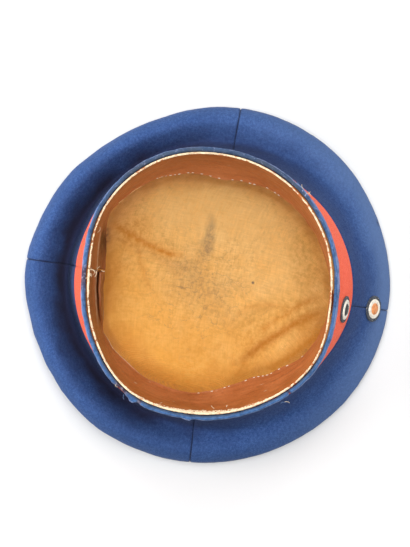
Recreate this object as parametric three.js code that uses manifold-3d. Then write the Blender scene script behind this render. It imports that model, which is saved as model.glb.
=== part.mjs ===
// A peakless round field cap: a wide soft crown of blue wool cloth on an upright red band, with a folded blue
// edging round its mouth, a leather sweatband, a cotton lining and two round metal cockades at the front.
// It lies on its crown with its mouth up. Millimetres, +Z up, the front of the cap towards -Y and its right
// side, as worn, towards +X. The origin is the middle of the crown's outline, on the face it lies on.
import * as THREE from "three";
import { mergeVertices } from "three/addons/utils/BufferGeometryUtils.js";
import Module from "manifold-3d";

const wasm = await Module();
wasm.setup();

// Overall sizes
const CROWN_RADIUS = 135.7; // mean radius of the crown at its widest
const CROWN_HEIGHT = 51; // from the face it lies on to the seam with the band
const SEAM_RADIUS = 97.9; // mean outer radius of that seam
const RIM_RADIUS = 94; // mean outer radius of the mouth
const BAND_HEIGHT = 44; // from the seam to the rim

// Cloth, leather and seams
const CLOTH = 1.8; // thickness of the wool cloth of crown and band
const SEAM_GAP = 0.3; // clearance between pieces that are sewn together
const HEM_WIDTH = 5; // how far the quarters turn in under the crown's edge
const EDGING_THICKNESS = 3; // folded blue cloth round the mouth
const EDGING_HEIGHT = 5;
const LEATHER = 1.4;
const LEATHER_DEPTH = 38; // from the rim to the sweatband's free edge
const LEATHER_BELOW_RIM = 0.5; // the raw edge stops this far short of the edging
const JOIN_AT = 180; // degrees round to where the sweatband's ends meet, at the back
const JOIN_GAP = 0.8;
const JOIN_STEP = 3.5; // one end stands this far inside the other at the free edge
const JOIN_FADE = 16; // degrees over which that end comes back to the curve
const COTTON = 1; // thickness of the lining
const LINING_ABOVE_SEAM = 4; // the lining is sewn to the band this far above the crown's seam

// Cockades, each a stamped disc with a milled ring, a smooth ring and a boss
const COCKADE_RADIUS = 10;
const COCKADE_BACK = 0.8; // thickness at the disc's rim
const MILLED_RING = { inner: 7.4, rise: 1.4 }; // rise is above the disc's back
const SMOOTH_RING = { inner: 4.4, rise: 2.1 };
const BOSS_RISE = 2.7;
const MILLING_DEPTH = 0.35;
const POST_RADIUS = 1;
const POST_CLEARANCE = 0.3;
const POST_PAST_CLOTH = 1.2; // how far the post stands out behind the cloth
const UPPER_COCKADE_OUT = 0.57; // place on the crown's side, as a share from the seam to the edge
const LOWER_COCKADE_UP = 0.48; // place on the band, as a share from the seam to the rim
const LOWER_COCKADE_AT = -1.8; // degrees round from the front, a little out of line with the upper one

// Facets
const TURN = Math.PI * 2;
const STEPS_PER_QUARTER = 15;
const STEPS_ROUND = 60;
const SIDE_STEPS = 15; // along the crown's side, from seam to hem
const LEATHER_STEPS = 4;
const LINING_STEPS = 9;
const COCKADE_STEPS = 40;

// The crown's quarters, by the angles of the seams at their ends, in degrees round from the front. The back
// quarters are cut a little wider than the front ones.
const QUARTERS = [
  { side: "front_right", from: 0, to: 88 },
  { side: "back_right", from: 88, to: 180 },
  { side: "back_left", from: 180, to: 272 },
  { side: "front_left", from: 272, to: 360 },
];

// The outlines, a row every 30 degrees round from the front towards +X. crown, seam and rim are shares of
// the mean radii above. leather is the sweatband's free edge as a share of the rim, and sunk is how far the
// crown's side has sunk beside the band, from 0, taut, to 1.
const STATIONS = [
  { at: 0, crown: 1.01, seam: 1.076, rim: 0.957, leather: 1, sunk: 0 },
  { at: 30, crown: 1.011, seam: 1.055, rim: 0.975, leather: 0.94, sunk: 0.1 },
  { at: 60, crown: 1.018, seam: 0.998, rim: 1.004, leather: 0.885, sunk: 0.4 },
  { at: 90, crown: 1.001, seam: 0.962, rim: 1.026, leather: 0.816, sunk: 0.6 },
  { at: 120, crown: 0.967, seam: 0.974, rim: 1.05, leather: 0.868, sunk: 0.8 },
  { at: 150, crown: 0.989, seam: 0.999, rim: 1.022, leather: 0.915, sunk: 0.95 },
  { at: 180, crown: 1.021, seam: 1.009, rim: 0.95, leather: 0.86, sunk: 1 },
  { at: 210, crown: 1.007, seam: 0.999, rim: 0.975, leather: 0.913, sunk: 1 },
  { at: 240, crown: 1.006, seam: 0.972, rim: 1.029, leather: 0.839, sunk: 0.9 },
  { at: 270, crown: 0.995, seam: 0.957, rim: 1.004, leather: 0.84, sunk: 0.55 },
  { at: 300, crown: 0.989, seam: 0.972, rim: 0.997, leather: 0.782, sunk: 0.3 },
  { at: 330, crown: 1.001, seam: 1.008, rim: 1.01, leather: 0.891, sunk: 0.1 },
];

// The crown's side in section, from the band's seam to its turned edge. out runs from the seam, 0, to the
// edge, 1, and up from the face that the crown lies on, 0, to the seam, 1, where the cloth is taut and sunk.
const SIDE_SECTION = [
  { part: "seam", tautOut: 0, tautUp: 1, sunkOut: 0, sunkUp: 1 },
  { part: "neck", tautOut: 0.09, tautUp: 0.9, sunkOut: 0.03, sunkUp: 0.76 },
  { part: "flank", tautOut: 0.28, tautUp: 0.71, sunkOut: 0.1, sunkUp: 0.38 },
  { part: "trough", tautOut: 0.52, tautUp: 0.5, sunkOut: 0.29, sunkUp: 0.13 },
  { part: "swell", tautOut: 0.76, tautUp: 0.31, sunkOut: 0.7, sunkUp: 0.53 },
  { part: "shoulder", tautOut: 0.94, tautUp: 0.18, sunkOut: 0.92, sunkUp: 0.44 },
  { part: "edge", tautOut: 1, tautUp: 0.1, sunkOut: 1, sunkUp: 0.2 },
  { part: "underside", tautOut: 0.97, tautUp: 0.03, sunkOut: 0.965, sunkUp: 0.04 },
];

// The lining in section, from its sewn top edge to the middle. out is a share of its top radius, and up of
// its height above the crown.
const LINING_SECTION = [
  { out: 1, up: 1 },
  { out: 0.99, up: 0.72 },
  { out: 0.95, up: 0.42 },
  { out: 0.87, up: 0.2 },
  { out: 0.76, up: 0.09 },
  { out: 0.6, up: 0.035 },
  { out: 0.4, up: 0.01 },
  { out: 0.2, up: 0 },
];

// Creases of the lining, each a soft ridge between two places, given by angle and share of its top radius.
const CREASES = [
  { fromAt: 157, fromOut: 0.88, toAt: 148, toOut: 0.28, rise: 3.4, width: 5 },
  { fromAt: 300, fromOut: 0.6, toAt: 358, toOut: 0.88, rise: 3.6, width: 6 },
  { fromAt: 312, fromOut: 0.76, toAt: 350, toOut: 0.92, rise: 2.8, width: 5 },
  { fromAt: 236, fromOut: 0.8, toAt: 272, toOut: 0.74, rise: 2.2, width: 8 },
];

const lerp = THREE.MathUtils.lerp;
const radians = THREE.MathUtils.degToRad;

// A column of the stations as a smooth function of the angle round the cap.
function around(column) {
  const count = STATIONS.length;
  return (angle) => {
    const position = (THREE.MathUtils.euclideanModulo(angle, TURN) / TURN) * count;
    const start = Math.floor(position);
    const [before, from, to, after] = [-1, 0, 1, 2].map(
      (step) => STATIONS[(start + step + count) % count][column],
    );
    const part = position - start;
    const lean = (to - before) / 2;
    const nextLean = (after - from) / 2;
    const bend = 3 * (to - from) - 2 * lean - nextLean;
    const turn = 2 * (from - to) + lean + nextLean;
    return from + part * (lean + part * (bend + part * turn));
  };
}

const crownShare = around("crown");
const seamShare = around("seam");
const rimShare = around("rim");
const leatherShare = around("leather");
const sunkShare = around("sunk");

const RIM_Z = CROWN_HEIGHT + BAND_HEIGHT;
const EDGING_Z = RIM_Z - EDGING_HEIGHT;

// The point at an angle from the front, a distance out and a height.
function place(angle, out, up) {
  return new THREE.Vector3(out * Math.sin(angle), -out * Math.cos(angle), up);
}

// Outer radius of the band and edging, a straight slope from the crown's seam to the rim.
function wallRadius(angle, up) {
  const share = (up - CROWN_HEIGHT) / BAND_HEIGHT;
  return lerp(SEAM_RADIUS * seamShare(angle), RIM_RADIUS * rimShare(angle), share);
}

// Middle line of the crown's side at an angle, as points of (radius, height) that dip no lower than the hem.
function sideLine(angle) {
  const sunk = sunkShare(angle);
  const seam = SEAM_RADIUS * seamShare(angle) - CLOTH / 2;
  const edge = CROWN_RADIUS * crownShare(angle) - CLOTH / 2;
  const low = CLOTH / 2;
  const high = CROWN_HEIGHT - SEAM_GAP / 2;
  const shaped = SIDE_SECTION.map(
    (row) =>
      new THREE.Vector2(
        lerp(seam, edge, lerp(row.tautOut, row.sunkOut, sunk)),
        lerp(low, high, lerp(row.tautUp, row.sunkUp, sunk)),
      ),
  );
  const hem = hemRadius(angle);
  const turned = [new THREE.Vector2(hem + HEM_WIDTH / 2, low), new THREE.Vector2(hem, low)];
  const line = new THREE.SplineCurve([...shaped, ...turned]).getPoints(SIDE_STEPS);
  return line.map((point) => new THREE.Vector2(point.x, Math.max(point.y, low)));
}

function hemRadius(angle) {
  return CROWN_RADIUS * crownShare(angle) - CLOTH / 2 - HEM_WIDTH;
}

// Middle line of the sweatband, which curls in towards its free edge.
function leatherRadius(angle, share) {
  const top = wallRadius(angle, RIM_Z) - EDGING_THICKNESS - SEAM_GAP - LEATHER / 2;
  const free = RIM_RADIUS * rimShare(angle) * leatherShare(angle);
  const past = THREE.MathUtils.radToDeg(THREE.MathUtils.euclideanModulo(angle, TURN)) - JOIN_AT;
  const step = past > 0 && past < JOIN_FADE ? JOIN_STEP * (1 - past / JOIN_FADE) : 0;
  const curl = share * lerp(0.45, 1, share);
  return lerp(top, free, curl) - step * share;
}

// Height that the lining's creases add at a point of the plan.
function creaseRise(point) {
  const topRadius = SEAM_RADIUS;
  let rise = 0;
  for (const crease of CREASES) {
    const from = place(radians(crease.fromAt), crease.fromOut * topRadius, 0);
    const to = place(radians(crease.toAt), crease.toOut * topRadius, 0);
    const line = new THREE.Line3(from, to);
    const flat = new THREE.Vector3(point.x, point.y, 0);
    const away = line.closestPointToPoint(flat, true, new THREE.Vector3()).distanceTo(flat);
    rise = Math.max(rise, crease.rise * Math.exp(-((away / crease.width) ** 2)));
  }
  return rise;
}

// A geometry of these points and triangles, facing out.
function closedGeometry(points, triangles) {
  const volume = triangles.reduce((sum, [a, b, c]) => {
    const normal = new THREE.Vector3().crossVectors(points[b], points[c]);
    return sum + points[a].dot(normal);
  }, 0);
  const facing = volume < 0 ? triangles.map(([a, b, c]) => [a, c, b]) : triangles;
  const geometry = new THREE.BufferGeometry().setFromPoints(points);
  geometry.setIndex(facing.flat());
  geometry.computeVertexNormals();
  return geometry;
}

// Joins closed sections into one skin. A ring's last section meets its first, and an open strip is capped
// across its wall, so its sections run out along one face and back along the other.
function loft(sections, isRing) {
  const size = sections[0].length;
  const spans = isRing ? sections.length : sections.length - 1;
  const triangles = [];
  for (let row = 0; row < spans; row += 1) {
    const here = row * size;
    const next = ((row + 1) % sections.length) * size;
    for (let k = 0; k < size; k += 1) {
      const after = (k + 1) % size;
      triangles.push([here + k, next + k, next + after], [here + k, next + after, here + after]);
    }
  }
  if (!isRing) {
    const last = (sections.length - 1) * size;
    for (let k = 0; k < size / 2 - 1; k += 1) {
      const back = size - 1 - k;
      triangles.push([k, k + 1, back], [k + 1, back - 1, back]);
      triangles.push([last + k, last + back, last + k + 1], [last + k + 1, last + back, last + back - 1]);
    }
  }
  return closedGeometry(sections.flat(), triangles);
}

// Joins sections that all run from one pole to another into a round skin.
function spin(firstPole, sections, lastPole) {
  const size = sections[0].length;
  const points = [...sections.flat(), firstPole, lastPole];
  const first = points.length - 2;
  const last = points.length - 1;
  const triangles = [];
  for (let row = 0; row < sections.length; row += 1) {
    const here = row * size;
    const next = ((row + 1) % sections.length) * size;
    triangles.push([first, next, here], [last, here + size - 1, next + size - 1]);
    for (let k = 0; k < size - 1; k += 1) {
      triangles.push([here + k, next + k, next + k + 1], [here + k, next + k + 1, here + k + 1]);
    }
  }
  return closedGeometry(points, triangles);
}

// Both faces of a wall along a middle line of (radius, height) points. The wall's ends are cut level at its
// start and upright at its end where startLevel and endUpright say so.
function wallFaces(line, thickness, { startLevel = false, endUpright = false } = {}) {
  const half = thickness / 2;
  const normals = line.map((point, k) => {
    const before = line[Math.max(k - 1, 0)];
    const after = line[Math.min(k + 1, line.length - 1)];
    const along = after.clone().sub(before).normalize();
    return new THREE.Vector2(-along.y, along.x);
  });
  if (startLevel) normals[0].set(1, 0);
  if (endUpright) normals[line.length - 1].set(0, -1);
  return {
    outer: line.map((point, k) => point.clone().addScaledVector(normals[k], half)),
    inner: line.map((point, k) => point.clone().addScaledVector(normals[k], -half)),
  };
}

function anglesRound(count) {
  return Array.from({ length: count }, (_, step) => (step / count) * TURN);
}

// A solid for cutting, and back.
function solidOf(geometry) {
  const bare = geometry.clone();
  bare.deleteAttribute("normal");
  bare.deleteAttribute("uv");
  const merged = mergeVertices(bare, 1e-4);
  return new wasm.Manifold(
    new wasm.Mesh({
      numProp: 3,
      vertProperties: merged.attributes.position.array,
      triVerts: new Uint32Array(merged.index.array),
    }),
  );
}

function cut(geometry, tool) {
  const mesh = solidOf(geometry).subtract(solidOf(tool)).getMesh();
  const result = new THREE.BufferGeometry();
  result.setAttribute("position", new THREE.BufferAttribute(mesh.vertProperties, 3));
  result.setIndex(new THREE.BufferAttribute(mesh.triVerts, 1));
  result.computeVertexNormals();
  return result;
}

// One quarter of the crown's side, short of its neighbours by half a seam gap at each end.
function crownQuarter({ from, to }) {
  const sections = [];
  for (let step = 0; step <= STEPS_PER_QUARTER; step += 1) {
    const angle = radians(lerp(from, to, step / STEPS_PER_QUARTER));
    const { outer, inner } = wallFaces(sideLine(angle), CLOTH, { startLevel: true, endUpright: true });
    const shift = step === 0 ? SEAM_GAP / 2 : step === STEPS_PER_QUARTER ? -SEAM_GAP / 2 : 0;
    const loop = [...outer, ...inner.reverse()];
    sections.push(loop.map((point) => place(angle + shift / point.x, point.x, point.y)));
  }
  return loft(sections, false);
}

// The flat round top of the crown, inside the quarters' turned edges.
function crownTop() {
  const sections = anglesRound(STEPS_ROUND).map((angle) => {
    const radius = hemRadius(angle) - SEAM_GAP;
    return [place(angle, radius, 0), place(angle, radius, CLOTH)];
  });
  return spin(new THREE.Vector3(0, 0, 0), sections, new THREE.Vector3(0, 0, CLOTH));
}

// The red band, from the crown's seam up to the edging.
function band() {
  const low = CROWN_HEIGHT + SEAM_GAP / 2;
  const high = EDGING_Z - SEAM_GAP;
  const sections = anglesRound(STEPS_ROUND).map((angle) => [
    place(angle, wallRadius(angle, low), low),
    place(angle, wallRadius(angle, high), high),
    place(angle, wallRadius(angle, high) - CLOTH, high),
    place(angle, wallRadius(angle, low) - CLOTH, low),
  ]);
  return loft(sections, true);
}

// The folded blue edging, whose upper side is rounded over the rim.
function edging() {
  const fold = EDGING_THICKNESS / 2;
  const folds = [0, 0.2, 0.5, 0.8, 1];
  const sections = anglesRound(STEPS_ROUND).map((angle) => {
    const rounded = folds.map((share) => {
      const swing = share * Math.PI;
      const up = RIM_Z - fold + fold * Math.sin(swing);
      return place(angle, wallRadius(angle, up) - fold + fold * Math.cos(swing), up);
    });
    const foot = [EDGING_THICKNESS, 0].map((inset) =>
      place(angle, wallRadius(angle, EDGING_Z) - inset, EDGING_Z),
    );
    return [...rounded, ...foot];
  });
  return loft(sections, true);
}

// The leather sweatband, an open strip whose ends meet at the back of the cap.
function sweatband() {
  const top = RIM_Z - LEATHER_BELOW_RIM;
  const start = radians(JOIN_AT) + JOIN_GAP / 2 / RIM_RADIUS;
  const sweep = TURN - JOIN_GAP / RIM_RADIUS;
  const sections = [];
  for (let step = 0; step <= STEPS_ROUND; step += 1) {
    const angle = start + (step / STEPS_ROUND) * sweep;
    const line = Array.from({ length: LEATHER_STEPS + 1 }, (_, k) => {
      const share = k / LEATHER_STEPS;
      return new THREE.Vector2(leatherRadius(angle, share), top - share * LEATHER_DEPTH);
    });
    const { outer, inner } = wallFaces(line, LEATHER, { startLevel: true });
    sections.push([...outer, ...inner.reverse()].map((point) => place(angle, point.x, point.y)));
  }
  return loft(sections, false);
}

// The cotton lining, a creased bag that lies on the crown's top and is sewn round inside the band. Its
// sections run from the middle out along the underside, and back along the upper side.
function lining() {
  const floor = CLOTH + SEAM_GAP + COTTON / 2;
  const top = CROWN_HEIGHT + LINING_ABOVE_SEAM;
  const pole = place(0, 0, floor);
  const half = new THREE.Vector3(0, 0, COTTON / 2);
  const sections = anglesRound(STEPS_ROUND).map((angle) => {
    const inside = Math.min(wallRadius(angle, top), wallRadius(angle, CROWN_HEIGHT));
    const radius = inside - CLOTH - SEAM_GAP - COTTON / 2;
    const rows = LINING_SECTION.map(
      (row) => new THREE.Vector2(radius * row.out, lerp(floor, top, row.up)),
    );
    const line = new THREE.SplineCurve(rows).getPoints(LINING_STEPS);
    const { outer, inner } = wallFaces(line, COTTON, { startLevel: true });
    const creased = (point) => {
      const spot = place(angle, point.x, point.y);
      const depth = THREE.MathUtils.clamp((top - point.y) / (top - floor), 0, 1);
      spot.z += creaseRise(spot) * depth;
      return spot;
    };
    return [...outer.reverse(), ...inner].map(creased);
  });
  pole.z += creaseRise(pole);
  return spin(pole.clone().sub(half), sections, pole.clone().add(half));
}

// A cockade on its own axis, its back at the origin and its post behind it.
function cockade(postLength) {
  const midMilled = (MILLED_RING.inner + COCKADE_RADIUS) / 2;
  const midSmooth = (MILLED_RING.inner + SMOOTH_RING.inner) / 2;
  const toothRoot = 1 - MILLING_DEPTH / COCKADE_RADIUS;
  const profile = [
    [0, -postLength],
    [POST_RADIUS, -postLength],
    [POST_RADIUS, 0],
    [COCKADE_RADIUS, 0],
    [COCKADE_RADIUS, COCKADE_BACK],
    [midMilled, MILLED_RING.rise],
    [MILLED_RING.inner, COCKADE_BACK],
    [MILLED_RING.inner - MILLING_DEPTH, SMOOTH_RING.rise - MILLING_DEPTH],
    [midSmooth, SMOOTH_RING.rise],
    [SMOOTH_RING.inner, SMOOTH_RING.rise - MILLING_DEPTH],
    [SMOOTH_RING.inner / 2, BOSS_RISE - MILLING_DEPTH / 2],
    [0, BOSS_RISE],
  ].map(([out, up]) => new THREE.Vector2(out, up));
  const geometry = new THREE.LatheGeometry(profile, COCKADE_STEPS);
  const position = geometry.attributes.position;
  for (let k = 0; k < position.count; k += 1) {
    const step = Math.floor(k / profile.length) % COCKADE_STEPS;
    const isRim = profile[k % profile.length].x === COCKADE_RADIUS;
    if (isRim && step % 2) {
      position.setX(k, position.getX(k) * toothRoot);
      position.setZ(k, position.getZ(k) * toothRoot);
    }
  }
  return geometry.rotateX(Math.PI / 2);
}

// Where a cockade sits at the front: a point of the cloth's outer face and the way that it faces.
function crownSeat() {
  const reach = CROWN_RADIUS * crownShare(0) - SEAM_RADIUS * seamShare(0);
  const target = SEAM_RADIUS * seamShare(0) + reach * UPPER_COCKADE_OUT;
  const { outer } = wallFaces(sideLine(0), CLOTH, { startLevel: true });
  const next = outer.findIndex((point) => point.x > target);
  const share = (target - outer[next - 1].x) / (outer[next].x - outer[next - 1].x);
  const spot = outer[next - 1].clone().lerp(outer[next], share);
  const along = outer[next].clone().sub(outer[next - 1]).normalize();
  return { point: place(0, spot.x, spot.y), facing: place(0, -along.y, along.x) };
}

function bandSeat() {
  const angle = radians(LOWER_COCKADE_AT);
  const up = CROWN_HEIGHT + BAND_HEIGHT * LOWER_COCKADE_UP;
  const along = new THREE.Vector2(
    wallRadius(angle, RIM_Z) - wallRadius(angle, CROWN_HEIGHT),
    BAND_HEIGHT,
  ).normalize();
  return {
    point: place(angle, wallRadius(angle, up), up),
    facing: place(angle, along.y, -along.x),
  };
}

const FACE_AXIS = new THREE.Vector3(0, 0, 1);

// A drill for a cockade's post, through the cloth behind its seat.
function postHole(seat) {
  const length = CLOTH * 4;
  const drill = new THREE.CylinderGeometry(
    POST_RADIUS + POST_CLEARANCE,
    POST_RADIUS + POST_CLEARANCE,
    length,
    COCKADE_STEPS / 2,
  ).rotateX(Math.PI / 2);
  drill.applyQuaternion(new THREE.Quaternion().setFromUnitVectors(FACE_AXIS, seat.facing));
  return drill.translate(seat.point.x, seat.point.y, seat.point.z);
}

const COLOURS = {
  blueCloth: { color: 0x2d4f8c, roughness: 0.95, metalness: 0 },
  redCloth: { color: 0xe8452c, roughness: 0.95, metalness: 0 },
  blueEdging: { color: 0x4468a4, roughness: 0.95, metalness: 0 },
  leather: { color: 0xa2542c, roughness: 0.45, metalness: 0 },
  cotton: { color: 0xdba254, roughness: 0.95, metalness: 0 },
  enamel: { color: 0xe8dccb, roughness: 0.4, metalness: 0.2 },
};

const cap = new THREE.Group();

function add(name, geometry, finish) {
  const mesh = new THREE.Mesh(geometry, new THREE.MeshStandardMaterial(COLOURS[finish]));
  mesh.name = name;
  cap.add(mesh);
  return mesh;
}

// The crown: four quarters sewn at the front, sides and back, round a flat top
const upperSeat = crownSeat();
for (const quarter of QUARTERS) {
  const cloth = crownQuarter(quarter);
  const isFront = quarter.side.startsWith("front");
  add(`crown_${quarter.side}`, isFront ? cut(cloth, postHole(upperSeat)) : cloth, "blueCloth");
}
add("crown_top", crownTop(), "blueCloth");

// The band and what is sewn round the mouth
const lowerSeat = bandSeat();
add("band", cut(band(), postHole(lowerSeat)), "redCloth");
add("rim_edging", edging(), "blueEdging");
add("sweatband", sweatband(), "leather");
add("lining", lining(), "cotton");

// The cockades, seated on the cloth with their posts through it
for (const [name, seat] of [["cockade_upper", upperSeat], ["cockade_lower", lowerSeat]]) {
  const mesh = add(name, cockade(SEAM_GAP + CLOTH + POST_PAST_CLOTH), "enamel");
  mesh.quaternion.setFromUnitVectors(FACE_AXIS, seat.facing);
  mesh.position.copy(seat.point).addScaledVector(seat.facing, SEAM_GAP);
}

// The origin is the middle of the crown's outline
const outline = new THREE.Box3().setFromObject(cap);
const middle = outline.getCenter(new THREE.Vector3());
cap.position.set(-middle.x, -middle.y, 0);

export default cap;
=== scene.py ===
"""A peakless round cap that lies on its crown, mouth up: wool cloth, leather, cotton and two cockades."""
import math

import bmesh
import bpy
import numpy as np
from bpy.props import FloatProperty, FloatVectorProperty, IntProperty, PointerProperty
from mathutils import Matrix, Vector


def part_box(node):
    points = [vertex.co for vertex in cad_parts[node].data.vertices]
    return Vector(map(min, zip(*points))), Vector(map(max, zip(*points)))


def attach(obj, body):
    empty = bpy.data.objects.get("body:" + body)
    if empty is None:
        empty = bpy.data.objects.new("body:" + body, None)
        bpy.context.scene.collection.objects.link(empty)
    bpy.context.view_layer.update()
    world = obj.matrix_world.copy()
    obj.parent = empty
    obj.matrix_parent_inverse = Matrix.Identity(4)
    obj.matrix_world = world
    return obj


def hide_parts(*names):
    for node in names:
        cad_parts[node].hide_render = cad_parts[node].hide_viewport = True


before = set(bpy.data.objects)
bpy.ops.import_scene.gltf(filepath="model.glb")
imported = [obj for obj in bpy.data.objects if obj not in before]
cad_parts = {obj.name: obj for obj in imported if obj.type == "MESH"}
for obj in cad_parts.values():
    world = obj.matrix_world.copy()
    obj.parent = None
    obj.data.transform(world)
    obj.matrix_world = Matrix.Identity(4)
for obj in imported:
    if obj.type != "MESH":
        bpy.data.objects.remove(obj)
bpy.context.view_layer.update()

bl_info = {
    "name": "Peakless round cap",
    "version": (1, 0, 0),
    "blender": (4, 5, 0),
    "location": "3D View > Sidebar > Cap",
    "description": "Makes the cloth, leather and metal of a round cap lying on its crown",
    "category": "Add Mesh",
}

MM = 0.001
TURN = math.tau
BODY = "root"


def table(names, *rows):
    """Rows of values, each value under its name."""
    return [dict(zip(names.split(), row)) for row in rows]


# Clearances and heights of the frame
SEAM_GAP = 0.3 * MM
CROWN_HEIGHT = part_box("band")[0][2] - SEAM_GAP / 2
RIM_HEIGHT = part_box("rim_edging")[1][2]
EDGING_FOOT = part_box("rim_edging")[0][2]
LEATHER_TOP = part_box("sweatband")[1][2]
LINING_TOP = 55 * MM
LEATHER_DEPTH = 38 * MM
HEM_WIDTH = 5 * MM

# How tightly two quarters are sewn together, and how sharply their edges turn in
SEWN_GAP = 0.06 * MM
SEAM_ROUND = 0.4 * MM

# The crown's quarters, by the angles of the seams at their ends, in degrees round from the front
QUARTERS = table(
    "side start end",
    ("front_right", 0, 88),
    ("back_right", 88, 180),
    ("back_left", 180, 272),
    ("front_left", 272, 360),
)

# The outlines, a row every 30 degrees round from the front: shares of the mean radii of crown, seam and rim,
# the sweatband's free edge as a share of the rim, and how far the crown has sunk beside the band, 0 to 1
STATIONS = table(
    "at crown seam rim leather sunk",
    (0, 1.010, 1.076, 0.957, 1, 0),
    (30, 1.011, 1.055, 0.975, 0.940, 0.1),
    (60, 1.018, 0.998, 1.004, 0.885, 0.4),
    (90, 1.001, 0.962, 1.026, 0.816, 0.6),
    (120, 0.967, 0.974, 1.050, 0.868, 0.8),
    (150, 0.989, 0.999, 1.022, 0.915, 0.95),
    (180, 1.021, 1.009, 0.950, 0.860, 1),
    (210, 1.007, 0.999, 0.975, 0.913, 1),
    (240, 1.006, 0.972, 1.029, 0.839, 0.9),
    (270, 0.995, 0.957, 1.004, 0.840, 0.55),
    (300, 0.989, 0.972, 0.997, 0.782, 0.3),
    (330, 1.001, 1.008, 1.010, 0.891, 0.1),
)

# The crown's side in section, taut and sunk: out from the seam, 0, to the edge, 1, and up from the floor
SIDE_SECTION = table(
    "part taut_out taut_up sunk_out sunk_up",
    ("seam", 0, 1, 0, 1),
    ("neck", 0.09, 0.90, 0.03, 0.76),
    ("flank", 0.28, 0.71, 0.10, 0.38),
    ("trough", 0.52, 0.50, 0.29, 0.13),
    ("swell", 0.76, 0.31, 0.70, 0.53),
    ("shoulder", 0.94, 0.18, 0.92, 0.44),
    ("edge", 1, 0.10, 1, 0.20),
    ("underside", 0.97, 0.03, 0.965, 0.04),
)

# The edging's fold in section: out from the band's face and up from the edging's foot, shares of its sizes
EDGING_SECTION = table(
    "out up",
    (0.00, 0.00),
    (0.15, 0.08),
    (0.19, 0.34),
    (0.16, 0.62),
    (0.05, 0.85),
    (-0.15, 0.97),
    (-0.38, 1.00),
    (-0.62, 0.95),
    (-0.82, 0.80),
    (-0.93, 0.57),
    (-0.97, 0.30),
    (-0.96, 0.00),
)

# What has happened to the edging: how far it stands out, how wide the spot is, and how bare it is worn
EDGING_MARKS = table(
    "mark at width out bare",
    ("torn away", 237.5, 5.5, -1.1, 1),
    ("flap", 244, 2.2, 1.5, 0),
    ("second tear", 247, 1.6, -0.6, 0.8),
    ("join", 315, 1.1, -1, 0.8),
    ("frayed", 54, 4, 0.3, 0),
    ("rubbed at the back", 184, 8.5, -0.2, 0.85),
)

# The edging's overlapping end, which rises to a step
EDGING_LAP = {"at": 270, "length": 9, "out": 0.8}

# The sweatband in section, in and down as shares of its reach and its depth: lying plainly, bent over a
# ridge beside its join, and folded into a pocket past it
LEATHER_SECTION = table(
    "plain_in plain_down ridge_in ridge_down fold_in fold_down",
    (0.00, 0.00, 0.00, 0.00, 0.00, 0.00),
    (0.03, 0.12, 0.08, 0.12, 0.08, 0.12),
    (0.09, 0.26, 0.18, 0.22, 0.18, 0.22),
    (0.18, 0.42, 0.31, 0.30, 0.30, 0.29),
    (0.30, 0.57, 0.41, 0.40, 0.40, 0.34),
    (0.44, 0.70, 0.48, 0.55, 0.46, 0.55),
    (0.58, 0.80, 0.56, 0.72, 0.54, 0.80),
    (0.71, 0.88, 0.67, 0.84, 0.66, 0.74),
    (0.83, 0.94, 0.80, 0.92, 0.76, 0.54),
    (0.93, 0.98, 0.92, 0.97, 0.88, 0.72),
    (1.00, 1.00, 1.00, 1.00, 1.00, 1.00),
)

# Where the sweatband's ends meet, in degrees, and how one stands inside the other
JOIN_AT = 180
JOIN_GAP = 0.8 * MM
RIDGE_SWEEP = 26
FOLD_UNTIL = 15
FOLD_END = 33
FOLD_BULGE = 2.4 * MM

# The lining in section, from its sewn edge to the middle: out and up, as shares of its radius and height
LINING_SECTION = table(
    "out up",
    (1, 1),
    (0.99, 0.72),
    (0.95, 0.42),
    (0.87, 0.20),
    (0.76, 0.09),
    (0.60, 0.035),
    (0.40, 0.01),
    (0.20, 0),
    (0, 0),
)

# Creases of the lining, each a soft ridge between two places: how high and wide it is and how far it bows to
# one side in mm, and on which side of it and how strongly painted shade, with some dirt, darkens the cotton
CREASES = table(
    "start_at start_out end_at end_out rise width bow side shade",
    (157, 0.88, 148, 0.28, 3.4, 5.5, 3, -0.5, 1.3),
    (300, 0.60, 358, 0.88, 3.6, 6, -3, 0.7, 1.35),
    (312, 0.76, 350, 0.92, 2.8, 5, 2, 0.8, 1.3),
    (236, 0.80, 272, 0.74, 2.2, 8, 0, 0.6, 0.8),
    (158, 0.62, 196, 0.42, 0.8, 3, 4, 0, 0.55),
    (330, 0.30, 352, 0.74, 0.9, 4, -4, 0, 0.45),
    (292, 0.74, 318, 0.50, 1.2, 5, 3, 0.3, 0.7),
    (196, 0.85, 170, 0.72, 0.9, 4, 2, 0, 0.45),
    (324, 0.52, 3, 0.84, 1.6, 5, -2, 0.4, 0.9),
)

# Stains of the lining: degrees round and mm out, size in mm along and across, how it lies, tone and strength
STAINS = table(
    "at out long wide turn tone strength",
    (94, 58, 26, 52, 0, "pale", 0.42),
    (20, 50, 34, 26, 0, "pale", 0.2),
    (97, 38, 14, 3.8, -4, "grey", 0.38),
    (104, 26, 9, 5, 0, "grey", 0.28),
    (200, 12, 15, 24, 20, "grey", 0.15),
    (218, 4, 9, 30, -12, "grey", 0.14),
    (140, 20, 12, 12, 30, "grey", 0.14),
    (300, 24, 9, 15, 30, "grey", 0.16),
    (268, 60, 26, 20, 0, "orange", 0.28),
    (186, 70, 26, 16, 0, "orange", 0.28),
    (312, 56, 20, 16, -30, "orange", 0.26),
    (154, 70, 16, 12, 32, "orange", 0.35),
    (350, 72, 14, 26, 15, "olive", 0.4),
    (22, 74, 26, 12, -10, "olive", 0.34),
    (330, 46, 16, 12, 40, "olive", 0.3),
    # The next row is a painted shadow on the lining where the sweatband's fold lifts away
    (164, 86.4, 10, 4, 0, "dark", 0.9),
    (11, 33.5, 1.1, 1.1, 0, "grey", 0.9),
    (334, 88, 1.4, 1.1, 0, "grey", 0.9),
)

# Rows of stitches that show along the sweatband's free edge, in degrees
STITCH_ROWS = table(
    "start end missing",
    (58, 124, 0.3),
    (258, 331, 0.5),
)

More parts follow.
